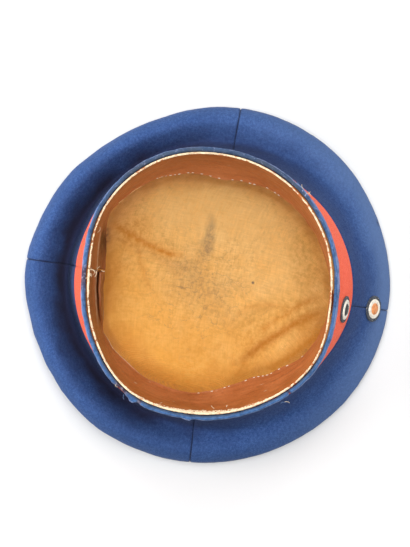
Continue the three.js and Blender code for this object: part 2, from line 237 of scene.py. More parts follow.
# Loose ends of thread and raw fibre: degrees round, mm out from the middle, mm up, length in mm and way
THREADS = table(
    "at out up long turn tone",
    (311.3, 97.3, 93.5, 4, 75, "cotton"),
    (309.5, 96.6, 94, 4, 100, "blue"),
    (54, 94.6, 95, 4, 78, "cotton"),
    (52, 94.0, 95.2, 4, -82, "cotton"),
    (56, 95.0, 95, 3.5, 95, "blue"),
    (50, 95.4, 94.6, 3.5, 60, "cotton"),
    (48, 94.2, 94.9, 3, -110, "blue"),
    (240, 97, 94, 4, 10, "blue"),
    (236, 96, 94, 3, -60, "cotton"),
    (180.2, 84.6, 92, 5, 184, "raw"),
    (181.0, 80.2, 88, 4.5, 96, "raw"),
    (180.6, 85.2, 94.2, 4.5, 70, "raw"),
    (181.8, 85.4, 94.4, 4, 112, "raw"),
    (183.4, 84.8, 94, 3.5, 80, "raw"),
    (180.3, 78, 70, 2.5, 165, "raw"),
    (283.5, 88.6, 85, 7.5, 135, "raw"),
    (286.4, 88, 84, 3, 214, "raw"),
    (179.6, 84, 91, 5, 60, "cotton"),
    (180.4, 80, 86, 4, -70, "cotton"),
    (180.6, 82, 86, 5, 120, "cotton"),
    (160, 87.8, 86, 6, 150, "cotton"),
    (255.5, 92.6, 89, 4.5, 214, "cotton"),
    (281, 88.4, 86, 5, 205, "cotton"),
    (276, 90, 90, 3.5, 170, "cotton"),
    (302, 88.5, 90, 3, 120, "cotton"),
)

# Cockades, each a stamped disc with a milled ring, a smooth ring and a boss
COCKADE_RADIUS = 10 * MM
MILLED_INNER = 7.4 * MM
SMOOTH_INNER = 4.4 * MM
UPPER_COCKADE_OUT = 0.57
LOWER_COCKADE_UP = 0.48
LOWER_COCKADE_AT = math.radians(-1.8)
SEAT_CALM = 16 * MM
RIB_HEIGHT = 0.8 * MM
RIB_SIZE = (2.3 * MM, 0.92 * MM, 1.1 * MM)
BEAD_COUNT = 16
BEAD_RING = 3.1 * MM
BEAD_HEIGHT = 2.42 * MM
BEAD_SIZE = (0.62 * MM, 0.55 * MM, 0.4 * MM)
COCKADE_PROFILE = [
    (0, -3.3),
    (1, -3.3),
    (1, 0),
    (9.5, 0),
    (9.8, 0.2),
    (9.8, 0.6),
    (9.5, 0.8),
    (7.55, 0.75),
    (7.4, 1.0),
    (7.2, 1.5),
    (6.9, 1.8),
    (6.4, 1.98),
    (5.8, 2.02),
    (5.3, 1.95),
    (4.95, 1.75),
    (4.75, 1.45),
    (4.55, 1.4),
    (4.4, 1.55),
    (4.1, 1.9),
    (3.5, 2.2),
    (2.6, 2.45),
    (1.4, 2.64),
    (0, 2.7),
]

# The painted shade and dirt beside the band, in shares of the crown's side from the band outwards: where it
# begins to fade and where it ends, each taut and sunk, its strength, and how much less of it the sunk neck
# gets, and how far out
DEEP_FROM = (0.10, 0.45)
DEEP_TO = (0.54, 0.66)
DEEP_SHARE = 0.95
NECK_LESS_SHADE = 0.5
NECK_ROWS = (0.3, 0.48)

# The crown's side that gets painted light, the shares of it between which the painted light grows, and a
# small nick in its edge
SIDE_LIGHT_AT = math.radians(15)
SIDE_LIGHT_ROWS = (0.36, 0.75)
NICK = {"at": 28.4, "out": 135 * MM, "up": 9.5 * MM}

# The band's seam, its place behind the torn edging, and the side where the edging's fold gets the most
# painted shade and its scuffed place, in degrees round
BAND_SEAM_AT = 180
TORN_AT = 238
EDGING_SHADE_AT = 100
SCUFFED_AT = 54

# Where the sweatband's raw edge is frayed, in degrees, how far the leather leans in there and how deep it
# frays
FRAYED_AT = 274
FRAYED_SWEEP = 28
FRAYED_PROUD = 1.4 * MM
FRAYED_DEPTH = (0.9 * MM, 3.6 * MM)

# How far the sweatband's free edge is drawn back where it is narrow, and where the painted shade in its fold
# fades
NARROW_BY = 2.2 * MM
POCKET_FADES = (18, 32)

# The roll of cotton that shows along the sweatband's free edge: its ends in degrees, its width and rise
ROLL_FROM = 121
ROLL_TO = 146
ROLL_WIDTH = 1.1 * MM
ROLL_RISE = 0.5 * MM

# The side where sweat has spread over the lining, in degrees, and how far it reaches
SWEAT_AT = 245
SWEAT_WIDTH = 30 * MM

# Places round the sweatband and the lining: degrees round, degrees that each spreads, and its strength
SPOTS = {row["name"]: row for row in table(
    "name at sweep strength",
    ("frayed", FRAYED_AT, FRAYED_SWEEP, 1),
    ("frayed_end", JOIN_AT + 5, 7, 0.45),
    ("narrow", 154, 9, 1),
    ("bulged", JOIN_AT + 20, 10, 1),
    # The next place is painted shade under the ridge beside the sweatband's join
    ("tucked", JOIN_AT - 15, 7, 0.9),
    # The next place is a painted highlight along the sweatband's free edge
    ("rubbed_edge", JOIN_AT + 40, 16, 1.2),
    # The next place is painted shade on the sweatband at the back
    ("dim", 192, 42, 1),
    ("pale", 112, 52, 1),
    ("sweat_side", SWEAT_AT, 51.6, 0.48),
    ("sweat_front", 350, 34.4, 0.15),
)}

# The sweatband's length from edge to edge, its stitches and the fibres of its raw edge
LEATHER_LENGTH = 42 * MM
STITCH_SHARE = 0.93
STITCH_SIZE = (1.9 * MM, 0.7 * MM, 0.5 * MM)
FUZZ_SIZE = (1.5 * MM, 0.55 * MM, 0.6 * MM)
FUZZ_PITCH = 1.05 * MM

# How the lining's weave lies and its threads to the metre, and loose ends of thread
WEAVE_TURN = math.radians(4)
LINING_THREADS = 1250.0
THREAD_WIDTH = 0.26 * MM
RAW_END_WIDTH = 0.5 * MM
THREAD_RISE = 0.25

# Where the photo was taken from: how the cap is turned, how high and how long the lens, and how far the
# crown's middle lies right of and above the point below the camera
PHOTO_TURN = math.radians(8.2)
CAMERA_HEIGHT = 1200 * MM
CAMERA_LENS = 103.65
CROWN_IN_VIEW = (3.0 * MM, -8.65 * MM)

# Soft lights: metres right and up in the picture, height, size and power, and the brightness of the sky
LIGHTS = table(
    "name right up high size power",
    ("over", 0, 0, 1.9, 1.2, 28),
    ("far", 0, 0.9, 1.2, 0.9, 12),
    ("left", -1.4, 0.1, 0.5, 0.9, 19),
    ("right", 1.35, 0, 0.65, 0.9, 7),
    ("near", 0, -0.9, 1.2, 0.9, 2),
)
SKY = 0.04
FLOOR_HALF = 2.5
FLOOR_GREY = (0.745, 0.745, 0.745)

# Lengths that the steps are shared out over, and the shares of a radius at which a map in metres is true
SIDE_LENGTH = 78 * MM
TOP_RADIUS = 130 * MM
SIDE_MAP = 0.87
ROUND_MAP = 0.6

# How finely the pieces are made: steps round and along them, and numbers of sides and rows
QUARTER_STEPS = (1.7 * MM, 1.35 * MM)
TOP_SIDES = 240
TOP_STEP = 3.4 * MM
BAND_SIDES = 460
BAND_STEP = 1.3 * MM
EDGING_SIDES = 1080
EDGING_POINTS = 44
LEATHER_STEPS = (1.2 * MM, 0.85 * MM)
LEATHER_POINTS = 140
LINING_SIDES = 420
LINING_ROWS = 104
DISC_SIDES = 96
THREAD_STEPS = 12


# Shapes


def cubic(before, here, after, beyond, part):
    """A smooth value between here and after."""
    lean = (after - before) / 2
    next_lean = (beyond - here) / 2
    bend = 3 * (after - here) - 2 * lean - next_lean
    turn = 2 * (here - after) + lean + next_lean
    return here + part * (lean + part * (bend + part * turn))


def around(column):
    """A column of the stations as a smooth function of angles in radians."""
    values = np.array([row[column] for row in STATIONS], float)
    count = len(values)

    def share(angle):
        position = np.mod(angle, TURN) / TURN * count
        start = np.floor(position).astype(int)
        near = [values[(start + step) % count] for step in (-1, 0, 1, 2)]
        return cubic(*near, position - start)

    return share


crown_share = around("crown")
seam_share = around("seam")
rim_share = around("rim")
leather_share = around("leather")
sunk_share = around("sunk")


def columns(table, *names):
    """Columns of a table of rows, as points."""
    return np.array([[row[name] for name in names] for row in table], float)


def curve_through(points, steps):
    """Points on a smooth curve through these ones, whose last two axes are the points and their places."""
    last = points.shape[-2] - 1
    position = np.linspace(0, last, steps)
    start = np.minimum(np.floor(position).astype(int), last - 1)
    ends = [np.clip(start + step, 0, last) for step in (-1, 0, 1, 2)]
    near = [points[..., end, :] for end in ends]
    return cubic(*near, (position - start)[:, None])


def travel(line):
    """Distance along a line at each of its points."""
    steps = np.linalg.norm(np.diff(line, axis=0), axis=1)
    return np.concatenate([[0], np.cumsum(steps)])


def spaced(line, fractions):
    """The points of a line at these fractions of its length, and that length."""
    far = travel(line)
    goals = fractions * far[-1]
    return np.stack([np.interp(goals, far, line[:, axis]) for axis in range(2)], axis=-1), far[-1]


def fine_ended(length, step):
    """Fractions of a length, closer together at both ends, where an edge is rounded."""
    lead = np.array([0, 0.08, 0.22, 0.45, 0.72, 1.04, 1.44, 2, 2.9, 4.2]) * MM
    count = max(int(length / step) - 6, 2)
    middle = np.linspace(lead[-1] + step, length - lead[-1] - step, count)
    return np.concatenate([lead, middle, (length - lead)[::-1]]) / length


def smooth(value, low, high):
    """0 below low, 1 above high, and soft between them."""
    share = np.clip((value - low) / (high - low), 0, 1)
    return share * share * (3 - 2 * share)


def bell(value, width):
    """A soft bump round 0."""
    return np.exp(-((value / width) ** 2))


def line_normals(line):
    """Unit normals of lines of (out, up) points, to the left of their way."""
    along = np.gradient(line, axis=-2)
    along = along / np.linalg.norm(along, axis=-1, keepdims=True)
    return np.stack([-along[..., 1], along[..., 0]], axis=-1)


def rounding(distance, half):
    """Share of the full thickness at a distance from a wall's rounded edge."""
    inside = np.clip(distance / half, 0, 1)
    return np.sqrt(np.clip(1 - (1 - inside) ** 2, 0.02, 1))


def ripple(points, wavelength, seed, waves=14):
    """Gentle unevenness of about this wavelength, mostly from -1 to 1, as a sum of plane waves."""
    dice = np.random.default_rng(seed)
    ways = dice.normal(size=(waves, 3))
    ways /= np.linalg.norm(ways, axis=1, keepdims=True)
    lengths = wavelength * dice.uniform(0.7, 1.5, waves)
    phases = dice.uniform(0, TURN, waves)
    total = np.zeros(points.shape[:-1])
    for way, length, phase in zip(ways, lengths, phases):
        total += np.sin(points @ way * TURN / length + phase)
    return total / math.sqrt(waves)


def full_turn(sides):
    """Angles of a ring's sides, from the front."""
    return np.linspace(0, TURN, sides + 1)[:-1]


def towards(sunk, taut, dropped):
    """A value between that of the taut side and that of the sunk one."""
    return taut * (1 - sunk) + dropped * sunk


def apart(angle, degrees):
    """How far angles lie past a place given in degrees, in radians from minus to plus half a turn."""
    return np.angle(np.exp(1j * (angle - math.radians(degrees))))


def near(angle, name):
    """How strongly one of the named places is felt at angles."""
    spot = SPOTS[name]
    return spot["strength"] * bell(np.degrees(apart(angle, spot["at"])), spot["sweep"])


def outline_centre(sizes):
    """Where the crown's own middle lies, when the middle of its outline is the origin."""
    angle = np.linspace(0, TURN, 721)
    out = sizes.crown_radius * crown_share(angle)
    x, y = out * np.sin(angle), -out * np.cos(angle)
    return -(x.max() + x.min()) / 2, -(y.max() + y.min()) / 2


def place(sizes, angle, out, up):
    """Points at angles from the front, distances out and heights."""
    x, y = outline_centre(sizes)
    angle, out, up = np.broadcast_arrays(angle, out, up)
    return np.stack([x + out * np.sin(angle), y - out * np.cos(angle), up], axis=-1)


def spot_on_floor(sizes, degrees, out):
    """A place given in degrees round and mm out, as three numbers for a node."""
    return tuple(float(part) for part in place(sizes, math.radians(degrees), out * MM, 0.0))


def wall_radius(sizes, angle, up):
    """Outer radius of the band, a straight slope from the crown's seam to the rim."""
    share = (up - CROWN_HEIGHT) / (RIM_HEIGHT - CROWN_HEIGHT)
    foot = sizes.seam_radius * seam_share(angle)
    return foot + (sizes.rim_radius * rim_share(angle) - foot) * share


# Meshes


def facing_out(points, faces):
    """Whether a closed skin's faces point outwards."""
    a, b, c, d = (points[faces[:, k]] for k in range(4))
    return np.einsum("ij,ij->i", a, np.cross(b, c) + np.cross(c, d)).sum() > 0


def add_masks(mesh, masks):
    """Values at a mesh's points, for its material to read."""
    for name, values in masks.items():
        attribute = mesh.attributes.new(name, "FLOAT", "POINT")
        attribute.data.foreach_set("value", np.ravel(values).astype(np.float32))


def skin(name, points, faces, spots, material, masks):
    """An object for a closed skin of four-sided faces, with a map in metres of the cloth's own two ways."""
    if not facing_out(points, faces):
        faces, spots = faces[:, ::-1], spots[:, ::-1]
    mesh = bpy.data.meshes.new(name)
    mesh.from_pydata(points.tolist(), [], faces.tolist())
    mesh.uv_layers.new(name="weave").data.foreach_set("uv", spots.reshape(-1).astype(np.float32))
    add_masks(mesh, masks)
    return settle(name, mesh, material)


def settle(name, mesh, material=None):
    """A smooth shaded object at the origin for a finished mesh."""
    mesh.shade_smooth()
    if material:
        mesh.materials.append(material)
    piece = bpy.data.objects.new(name, mesh)
    bpy.context.scene.collection.objects.link(piece)
    return piece


def cloth_map(across, along, i, j):
    """Corners of a grid's faces on a map in metres of the cloth's own two ways."""
    i, j = np.broadcast_arrays(i, j)
    low, high = across[i], across[i + 1]
    first, second = along[j], along[j + 1]
    corners = [(low, first), (high, first), (high, second), (low, second)]
    return np.stack([np.stack(corner, axis=-1) for corner in corners], axis=-2).reshape(-1, 4, 2)


def wall(name, outer, inner, across, along, material, is_ring=False, has_pole=False, masks=None):
    """A closed wall between two grids. A ring's last row meets its first, a pole is its last column."""
    rows, count = outer.shape[:2]
    spans = rows if is_ring else rows - 1
    back = rows * count
    i = np.arange(spans)[:, None]
    j = np.arange(count - 1)[None, :]
    here, there = i * count + j, (i + 1) % rows * count + j
    faces = [np.stack([here, there, there + 1, here + 1], axis=-1).reshape(-1, 4)]
    spots = [cloth_map(across, along, i, j)]
    faces.append(faces[0][:, ::-1] + back)
    spots.append(spots[0][:, ::-1])

    def border(a, b, is_first):
        """Closes the wall between the faces along its points a to b."""
        strip = np.stack([a, a + back, b + back, b], axis=-1)
        spot = np.stack([across[a // count], along[a % count]], axis=-1)
        next_spot = np.stack([across[a // count + (b % count == a % count)], along[b % count]], axis=-1)
        strip_spots = np.stack([spot, spot, next_spot, next_spot], axis=1)
        faces.append(strip if is_first else strip[:, ::-1])
        spots.append(strip_spots if is_first else strip_spots[:, ::-1])

    border(here[:, 0], there[:, 0], True)
    if not has_pole:
        border(here[:, -1] + 1, there[:, -1] + 1, False)
    if not is_ring:
        for row, is_first in ((0, False), (rows - 1, True)):
            a = row * count + np.arange(count - 1)
            border(a, a + 1, is_first)
    points = np.concatenate([outer.reshape(-1, 3), inner.reshape(-1, 3)])
    doubled = {mask: np.tile(np.broadcast_to(values, (rows, count)).ravel(), 2)
               for mask, values in (masks or {}).items()}
    piece = skin(name, points, np.concatenate(faces), np.concatenate(spots), material, doubled)
    if has_pole:
        work = bmesh.new()
        work.from_mesh(piece.data)
        bmesh.ops.remove_doubles(work, verts=work.verts, dist=0.001 * MM)
        work.to_mesh(piece.data)
        work.free()
    return piece


def loop_ring(name, loops, across, along, material, masks):
    """A ring whose closed section is one loop of points."""
    rows, count = loops.shape[:2]
    i = np.arange(rows)[:, None]
    j = np.arange(count)[None, :]
    after = (j + 1) % count
    next_row = (i + 1) % rows
    faces = [i * count + j, next_row * count + j, next_row * count + after, i * count + after]
    faces = np.stack(faces, axis=-1).reshape(-1, 4)
    whole = {mask: np.broadcast_to(values, (rows, count)) for mask, values in masks.items()}
    return skin(name, loops.reshape(-1, 3), faces, cloth_map(across, along, i, j), material, whole)


def turned_mesh(name, profile, sides):
    """A mesh turned round Z from (out, up) points whose first and last lie on the axis."""
    work = bmesh.new()
    rings = []
    for out, up in profile:
        if out == 0:
            rings.append([work.verts.new((0, 0, up))] * sides)
            continue
        ring = []
        for k in range(sides):
            turn = TURN * k / sides
            ring.append(work.verts.new((out * math.cos(turn), out * math.sin(turn), up)))
        rings.append(ring)
    for low, high in zip(rings, rings[1:]):
        for k in range(sides):
            corners = [low[k], low[(k + 1) % sides], high[(k + 1) % sides], high[k]]
            work.faces.new(list(dict.fromkeys(corners)))
    bmesh.ops.recalc_face_normals(work, faces=work.faces)
    mesh = bpy.data.meshes.new(name)
    work.to_mesh(mesh)
    work.free()
    return mesh


def seat(piece, slot, *nodes):
    """Fixes a finished piece to the cap's body and hides the nodes that it stands for. Its slot is not used.
    """
    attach(piece, BODY)
    if nodes:
        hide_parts(*nodes)
    return piece


# Node helpers


def fill(tree, socket, value):
    """Joins a socket to another or gives it a value, a colour with or without its alpha."""
    if isinstance(value, bpy.types.NodeSocket):
        tree.links.new(value, socket)
    elif socket.type == "RGBA":
        socket.default_value = (*value[:3], 1.0)
    else:
        socket.default_value = value


def fill_all(tree, node, inputs):
    """Fills several inputs of a node."""
    for name, value in inputs.items():
        fill(tree, node.inputs[name], value)


def add_node(tree, kind, inputs=None, **settings):
    """A node with its settings and its inputs filled."""
    node = tree.nodes.new(kind)
    for name, value in settings.items():
        setattr(node, name, value)
    fill_all(tree, node, inputs or {})
    return node


def math_node(tree, operation, a, b=0.0, clamp=False):
    """The result of one sum."""
    return add_node(tree, "ShaderNodeMath", {0: a, 1: b}, operation=operation, use_clamp=clamp).outputs[0]


def times(tree, a, b, clamp=False):
    """One value times another."""
    return math_node(tree, "MULTIPLY", a, b, clamp)


def plus(tree, a, b):
    """Two values added."""
    return math_node(tree, "ADD", a, b)


def mix_colours(tree, share, a, b, blend="MIX"):
    """Two colours mixed by a share."""
    inputs = {"Factor": share, 6: a, 7: b}
    return add_node(tree, "ShaderNodeMix", inputs, data_type="RGBA", blend_type=blend).outputs[2]


def stretch(tree, value, low, high, to_low=0.0, to_high=1.0, smooth=False):
    """A value carried from one range to another."""
    inputs = {"Value": value, "From Min": low, "From Max": high, "To Min": to_low, "To Max": to_high}
    kind = "SMOOTHSTEP" if smooth else "LINEAR"
    return add_node(tree, "ShaderNodeMapRange", inputs, interpolation_type=kind).outputs["Result"]


def object_place(tree):
    """Where a point of the surface lies on the piece."""
    return tree.nodes.new("ShaderNodeTexCoord").outputs["Object"]


def own_map(tree):
    """Where a point lies on the cloth's or leather's own map."""
    return add_node(tree, "ShaderNodeUVMap", uv_map="weave").outputs["UV"]


def stretched_map(tree, vector, scale):
    """Places stretched to a scale of their own each way."""
    return add_node(tree, "ShaderNodeMapping", {"Vector": vector, "Scale": scale}).outputs["Vector"]


def noise_at(tree, vector, scale, detail=2.0, roughness=0.5):
    """Noise of a scale."""
    inputs = {"Vector": vector, "Scale": scale, "Detail": detail, "Roughness": roughness}
    return add_node(tree, "ShaderNodeTexNoise", inputs).outputs["Fac"]


def relief(tree, height, strength, distance):
    """The normal of a surface with a fine relief."""
    inputs = {"Strength": strength, "Distance": distance, "Height": height}
    return add_node(tree, "ShaderNodeBump", inputs).outputs["Normal"]


def shader_group(name, inputs, outputs):
    """A new shader group with its sockets, and its input and output nodes."""
    group = bpy.data.node_groups.new(name, "ShaderNodeTree")
    for socket, kind, value in inputs:
        made = group.interface.new_socket(socket, in_out="INPUT", socket_type=kind)
        made.default_value = value
    for socket, kind in outputs:
        group.interface.new_socket(socket, in_out="OUTPUT", socket_type=kind)
    return group, group.nodes.new("NodeGroupInput"), group.nodes.new("NodeGroupOutput")


# Repeats made by Geometry Nodes


def geometry_tree(name, sockets):
    """A geometry tree with its named inputs, and its input and output nodes."""
    tree = bpy.data.node_groups.new(name, "GeometryNodeTree")
    tree.interface.new_socket("Geometry", in_out="OUTPUT", socket_type="NodeSocketGeometry")
    tree.interface.new_socket("Geometry", in_out="INPUT", socket_type="NodeSocketGeometry")
    for socket, kind in sockets:
        tree.interface.new_socket(socket, in_out="INPUT", socket_type=kind)
    return tree, tree.nodes.new("NodeGroupInput"), tree.nodes.new("NodeGroupOutput")


def beads_on(tree, given, points, turn, size):
    """Ends a tree with a rounded bead at each point, turned and sized, of the given material."""
    bead = add_node(tree, "GeometryNodeMeshUVSphere", {"Segments": 8, "Rings": 6, "Radius": 0.5})
    seed = given.outputs["Seed"]
    uneven = add_node(tree, "FunctionNodeRandomValue", {2: 0.78, 3: 1.18, "Seed": seed}, data_type="FLOAT")
    chance = {"Probability": given.outputs["Kept"], "Seed": seed}
    kept = add_node(tree, "FunctionNodeRandomValue", chance, data_type="BOOLEAN")
    scale = add_node(tree, "ShaderNodeVectorMath", {0: size, "Scale": uneven.outputs[1]}, operation="SCALE")
    placed = add_node(tree, "GeometryNodeInstanceOnPoints", {
        "Points": points,
        "Selection": kept.outputs[3],
        "Instance": bead.outputs["Mesh"],
        "Rotation": turn,
        "Scale": scale.outputs[0],
    })
    end_tree(tree, given, placed.outputs["Instances"])


def end_tree(tree, given, geometry):
    """Makes instances real and gives them their material."""
    real = add_node(tree, "GeometryNodeRealizeInstances", {"Geometry": geometry})
    painted = add_node(tree, "GeometryNodeSetMaterial",
                       {"Geometry": real.outputs["Geometry"], "Material": given.outputs["Material"]})
    result = next(node for node in tree.nodes if node.bl_idname == "NodeGroupOutput")
    tree.links.new(painted.outputs["Geometry"], result.inputs["Geometry"])


def stitch_tree():
    """Rounded stitches laid end to end along a line, some of them missing."""
    tree, given, _ = geometry_tree("stitches", [
        ("Pitch", "NodeSocketFloat"),
        ("Size", "NodeSocketVector"),
        ("Kept", "NodeSocketFloat"),
        ("Seed", "NodeSocketInt"),
        ("Material", "NodeSocketMaterial"),
    ])
    curve = add_node(tree, "GeometryNodeMeshToCurve", {"Mesh": given.outputs["Geometry"]})
    spread = add_node(tree, "GeometryNodeResampleCurve",
                      {"Curve": curve.outputs["Curve"], "Length": given.outputs["Pitch"]}, mode="LENGTH")
    tangent = tree.nodes.new("GeometryNodeInputTangent").outputs["Tangent"]
    turn = add_node(tree, "FunctionNodeAlignRotationToVector", {"Vector": tangent}, axis="X")
    beads_on(tree, given, spread.outputs["Curve"], turn.outputs["Rotation"], given.outputs["Size"])
    return tree


def rib_tree():
    """Rounded ribs in a ring round Z, each laid from the middle outwards."""
    tree, given, _ = geometry_tree("ring_of_ribs", [
        ("Count", "NodeSocketInt"),
        ("Radius", "NodeSocketFloat"),
        ("Height", "NodeSocketFloat"),
        ("Size", "NodeSocketVector"),
        ("Kept", "NodeSocketFloat"),
        ("Seed", "NodeSocketInt"),
        ("Material", "NodeSocketMaterial"),
    ])
    ring = add_node(tree, "GeometryNodeMeshCircle",
                    {"Vertices": given.outputs["Count"], "Radius": given.outputs["Radius"]})
    raised = add_node(tree, "ShaderNodeCombineXYZ", {"Z": given.outputs["Height"]})
    lifted = add_node(tree, "GeometryNodeSetPosition",
                      {"Geometry": ring.outputs["Mesh"], "Offset": raised.outputs["Vector"]})
    spot = tree.nodes.new("GeometryNodeInputPosition").outputs["Position"]
    flat = add_node(tree, "ShaderNodeVectorMath", {0: spot, 1: (1, 1, 0)}, operation="MULTIPLY")
    turn = add_node(tree, "FunctionNodeAlignRotationToVector", {"Vector": flat.outputs[0]}, axis="X")
    beads_on(tree, given, lifted.outputs["Geometry"], turn.outputs["Rotation"], given.outputs["Size"])
    return tree


def thread_tree():
    """Round thread along every line."""
    tree, given, _ = geometry_tree("threads", [
        ("Thickness", "NodeSocketFloat"),
        ("Material", "NodeSocketMaterial"),
    ])
    curve = add_node(tree, "GeometryNodeMeshToCurve", {"Mesh": given.outputs["Geometry"]})
    half = times(tree, given.outputs["Thickness"], 0.5)
    round_section = add_node(tree, "GeometryNodeCurvePrimitiveCircle", {"Resolution": 6, 4: half})
    tube = add_node(tree, "GeometryNodeCurveToMesh", {
        "Curve": curve.outputs["Curve"],
        "Profile Curve": round_section.outputs["Curve"],
        "Fill Caps": True,
    })
    end_tree(tree, given, tube.outputs["Mesh"])
    return tree


TREES = {"stitches": stitch_tree, "ring_of_ribs": rib_tree, "threads": thread_tree}


def grown(name, tree_name, inputs, lines=()):
    """The mesh that a geometry tree grows with these inputs, from a host mesh of lines of points."""
    tree = bpy.data.node_groups.get(tree_name) or TREES[tree_name]()
    points, edges = [], []
    for line in lines:
        edges += [(len(points) + k, len(points) + k + 1) for k in range(len(line) - 1)]
        points += [tuple(float(part) for part in point) for point in line]
    mesh = bpy.data.meshes.new(f"{name}_lines")
    mesh.from_pydata(points, edges, [])
    host = bpy.data.objects.new(f"{name}_lines", mesh)
    bpy.context.scene.collection.objects.link(host)
    modifier = host.modifiers.new("grow", "NODES")
    modifier.node_group = tree
    for item in tree.interface.items_tree:
        if item.in_out == "INPUT" and item.name in inputs:
            modifier[item.identifier] = inputs[item.name]
    evaluated = host.evaluated_get(bpy.context.evaluated_depsgraph_get())
    result = bpy.data.meshes.new_from_object(evaluated)
    host.modifiers.clear()
    bpy.data.objects.remove(host)
    bpy.data.meshes.remove(mesh)
    if not result.polygons:
        raise RuntimeError(f"{name} came out empty")
    result.name = name
    return result


def joined(name, meshes):
    """One mesh of several, each keeping its own materials."""
    work = bmesh.new()
    result = bpy.data.meshes.new(name)
    for mesh in meshes:
        done = len(work.faces)
        first = len(result.materials)
        work.from_mesh(mesh)
        work.faces.ensure_lookup_table()
        for face in work.faces[done:]:
            face.material_index += first
        for material in mesh.materials:
            result.materials.append(material)
    work.to_mesh(result)
    work.free()
    return result


# Materials


CLOTH_RESULTS = [
    ("Colour", "NodeSocketColor"),
    ("Roughness", "NodeSocketFloat"),
    ("Normal", "NodeSocketVector"),
]


def nap_group():
    """Milled wool: a short nap over a weave that hardly shows, with faint patches where it is rubbed."""
    group, given, result = shader_group("napped_cloth", [
        ("Colour", "NodeSocketColor", (0.1, 0.2, 0.4, 1)),
        ("Raised", "NodeSocketColor", (0.2, 0.3, 0.5, 1)),
        ("Rubbed", "NodeSocketColor", (0.05, 0.1, 0.2, 1)),
        ("Nap", "NodeSocketFloat", 1.0),
        ("Patches", "NodeSocketFloat", 0.3),
    ], CLOTH_RESULTS)
    where = object_place(group)
    fibres = noise_at(group, where, 1500, 4, 0.65)
    tufts = noise_at(group, where, 520, 3, 0.7)
    patches = noise_at(group, where, 30, 4, 0.6)
    strands = noise_at(group, stretched_map(group, own_map(group), (900, 2600, 1)), 1, 2, 0.5)
    raised = times(group, stretch(group, plus(group, fibres, tufts), 0.84, 1.22), given.outputs["Nap"], True)
    cloth = mix_colours(group, raised, given.outputs["Colour"], given.outputs["Raised"])
    spread = times(group, stretch(group, patches, 0.42, 0.68), given.outputs["Patches"], True)
    height = plus(group, plus(group, times(group, fibres, 0.6), strands), times(group, tufts, 0.8))
    fill_all(group, result, {
        "Colour": mix_colours(group, spread, cloth, given.outputs["Rubbed"]),
        "Roughness": stretch(group, fibres, 0.3, 0.7, 0.98, 0.84),
        "Normal": relief(group, height, 0.55, 0.5 * MM),
    })
    return group


def grain_group():
    """Leather: fine pores and soft cracks, with darker and paler places."""
    group, given, result = shader_group("leather_grain", [
        ("Colour", "NodeSocketColor", (0.3, 0.1, 0.05, 1)),
        ("Worn", "NodeSocketColor", (0.5, 0.25, 0.12, 1)),
        ("Depth", "NodeSocketFloat", 0.4),
    ], CLOTH_RESULTS)
    where = object_place(group)
    pores = add_node(group, "ShaderNodeTexVoronoi", {"Vector": where, "Scale": 1300.0})
    cracks = noise_at(group, where, 260, 5, 0.65)
    cloudy = noise_at(group, where, 55, 4, 0.6)
    worn = stretch(group, cloudy, 0.4, 0.72)
    colour = mix_colours(group, worn, given.outputs["Colour"], given.outputs["Worn"])
    dark = mix_colours(group, 1.0, colour, (0.72, 0.66, 0.62), "MULTIPLY")
    fill_all(group, result, {
        "Colour": mix_colours(group, stretch(group, cracks, 0.44, 0.3), colour, dark),
        "Roughness": stretch(group, cracks, 0.3, 0.7, 0.34, 0.56),
        "Normal": relief(group, plus(group, pores.outputs["Distance"], times(group, cracks, 1.4)),
                         given.outputs["Depth"], 0.25 * MM),
    })
    return group


def weave_group():
    """Plain cotton weave: two sets of uneven threads, over and under."""
    group, given, result = shader_group(
        "cotton_weave",
        [("Threads", "NodeSocketFloat", 1900.0), ("Unevenness", "NodeSocketFloat", 0.5)],
        [("Height", "NodeSocketFloat"), ("Slubs", "NodeSocketFloat")],
    )
    parts = add_node(group, "ShaderNodeSeparateXYZ", {"Vector": object_place(group)})
    leant = {axis: plus(group, parts.outputs[axis], parts.outputs["Z"]) for axis in "XY"}
    cloth = add_node(group, "ShaderNodeCombineXYZ", leant)
    laid = add_node(group, "ShaderNodeMapping",
                    {"Vector": cloth.outputs["Vector"], "Rotation": (0, 0, WEAVE_TURN)}).outputs["Vector"]
    turned = add_node(group, "ShaderNodeSeparateXYZ", {"Vector": laid})
    sets = []
    for axis in "XY":
        angle = times(group, times(group, turned.outputs[axis], given.outputs["Threads"]), math.pi)
        sets.append(math_node(group, "ABSOLUTE", math_node(group, "SINE", angle)))
    slubs = [noise_at(group, stretched_map(group, laid, scale), 1, 3, 0.6)
             for scale in ((760, 70, 1), (70, 760, 1))]
    both = times(group, plus(group, *slubs), 0.5)
    uneven = times(group, both, given.outputs["Unevenness"])
    fill_all(group, result, {"Height": plus(group, times(group, *sets), uneven), "Slubs": both})
    return group


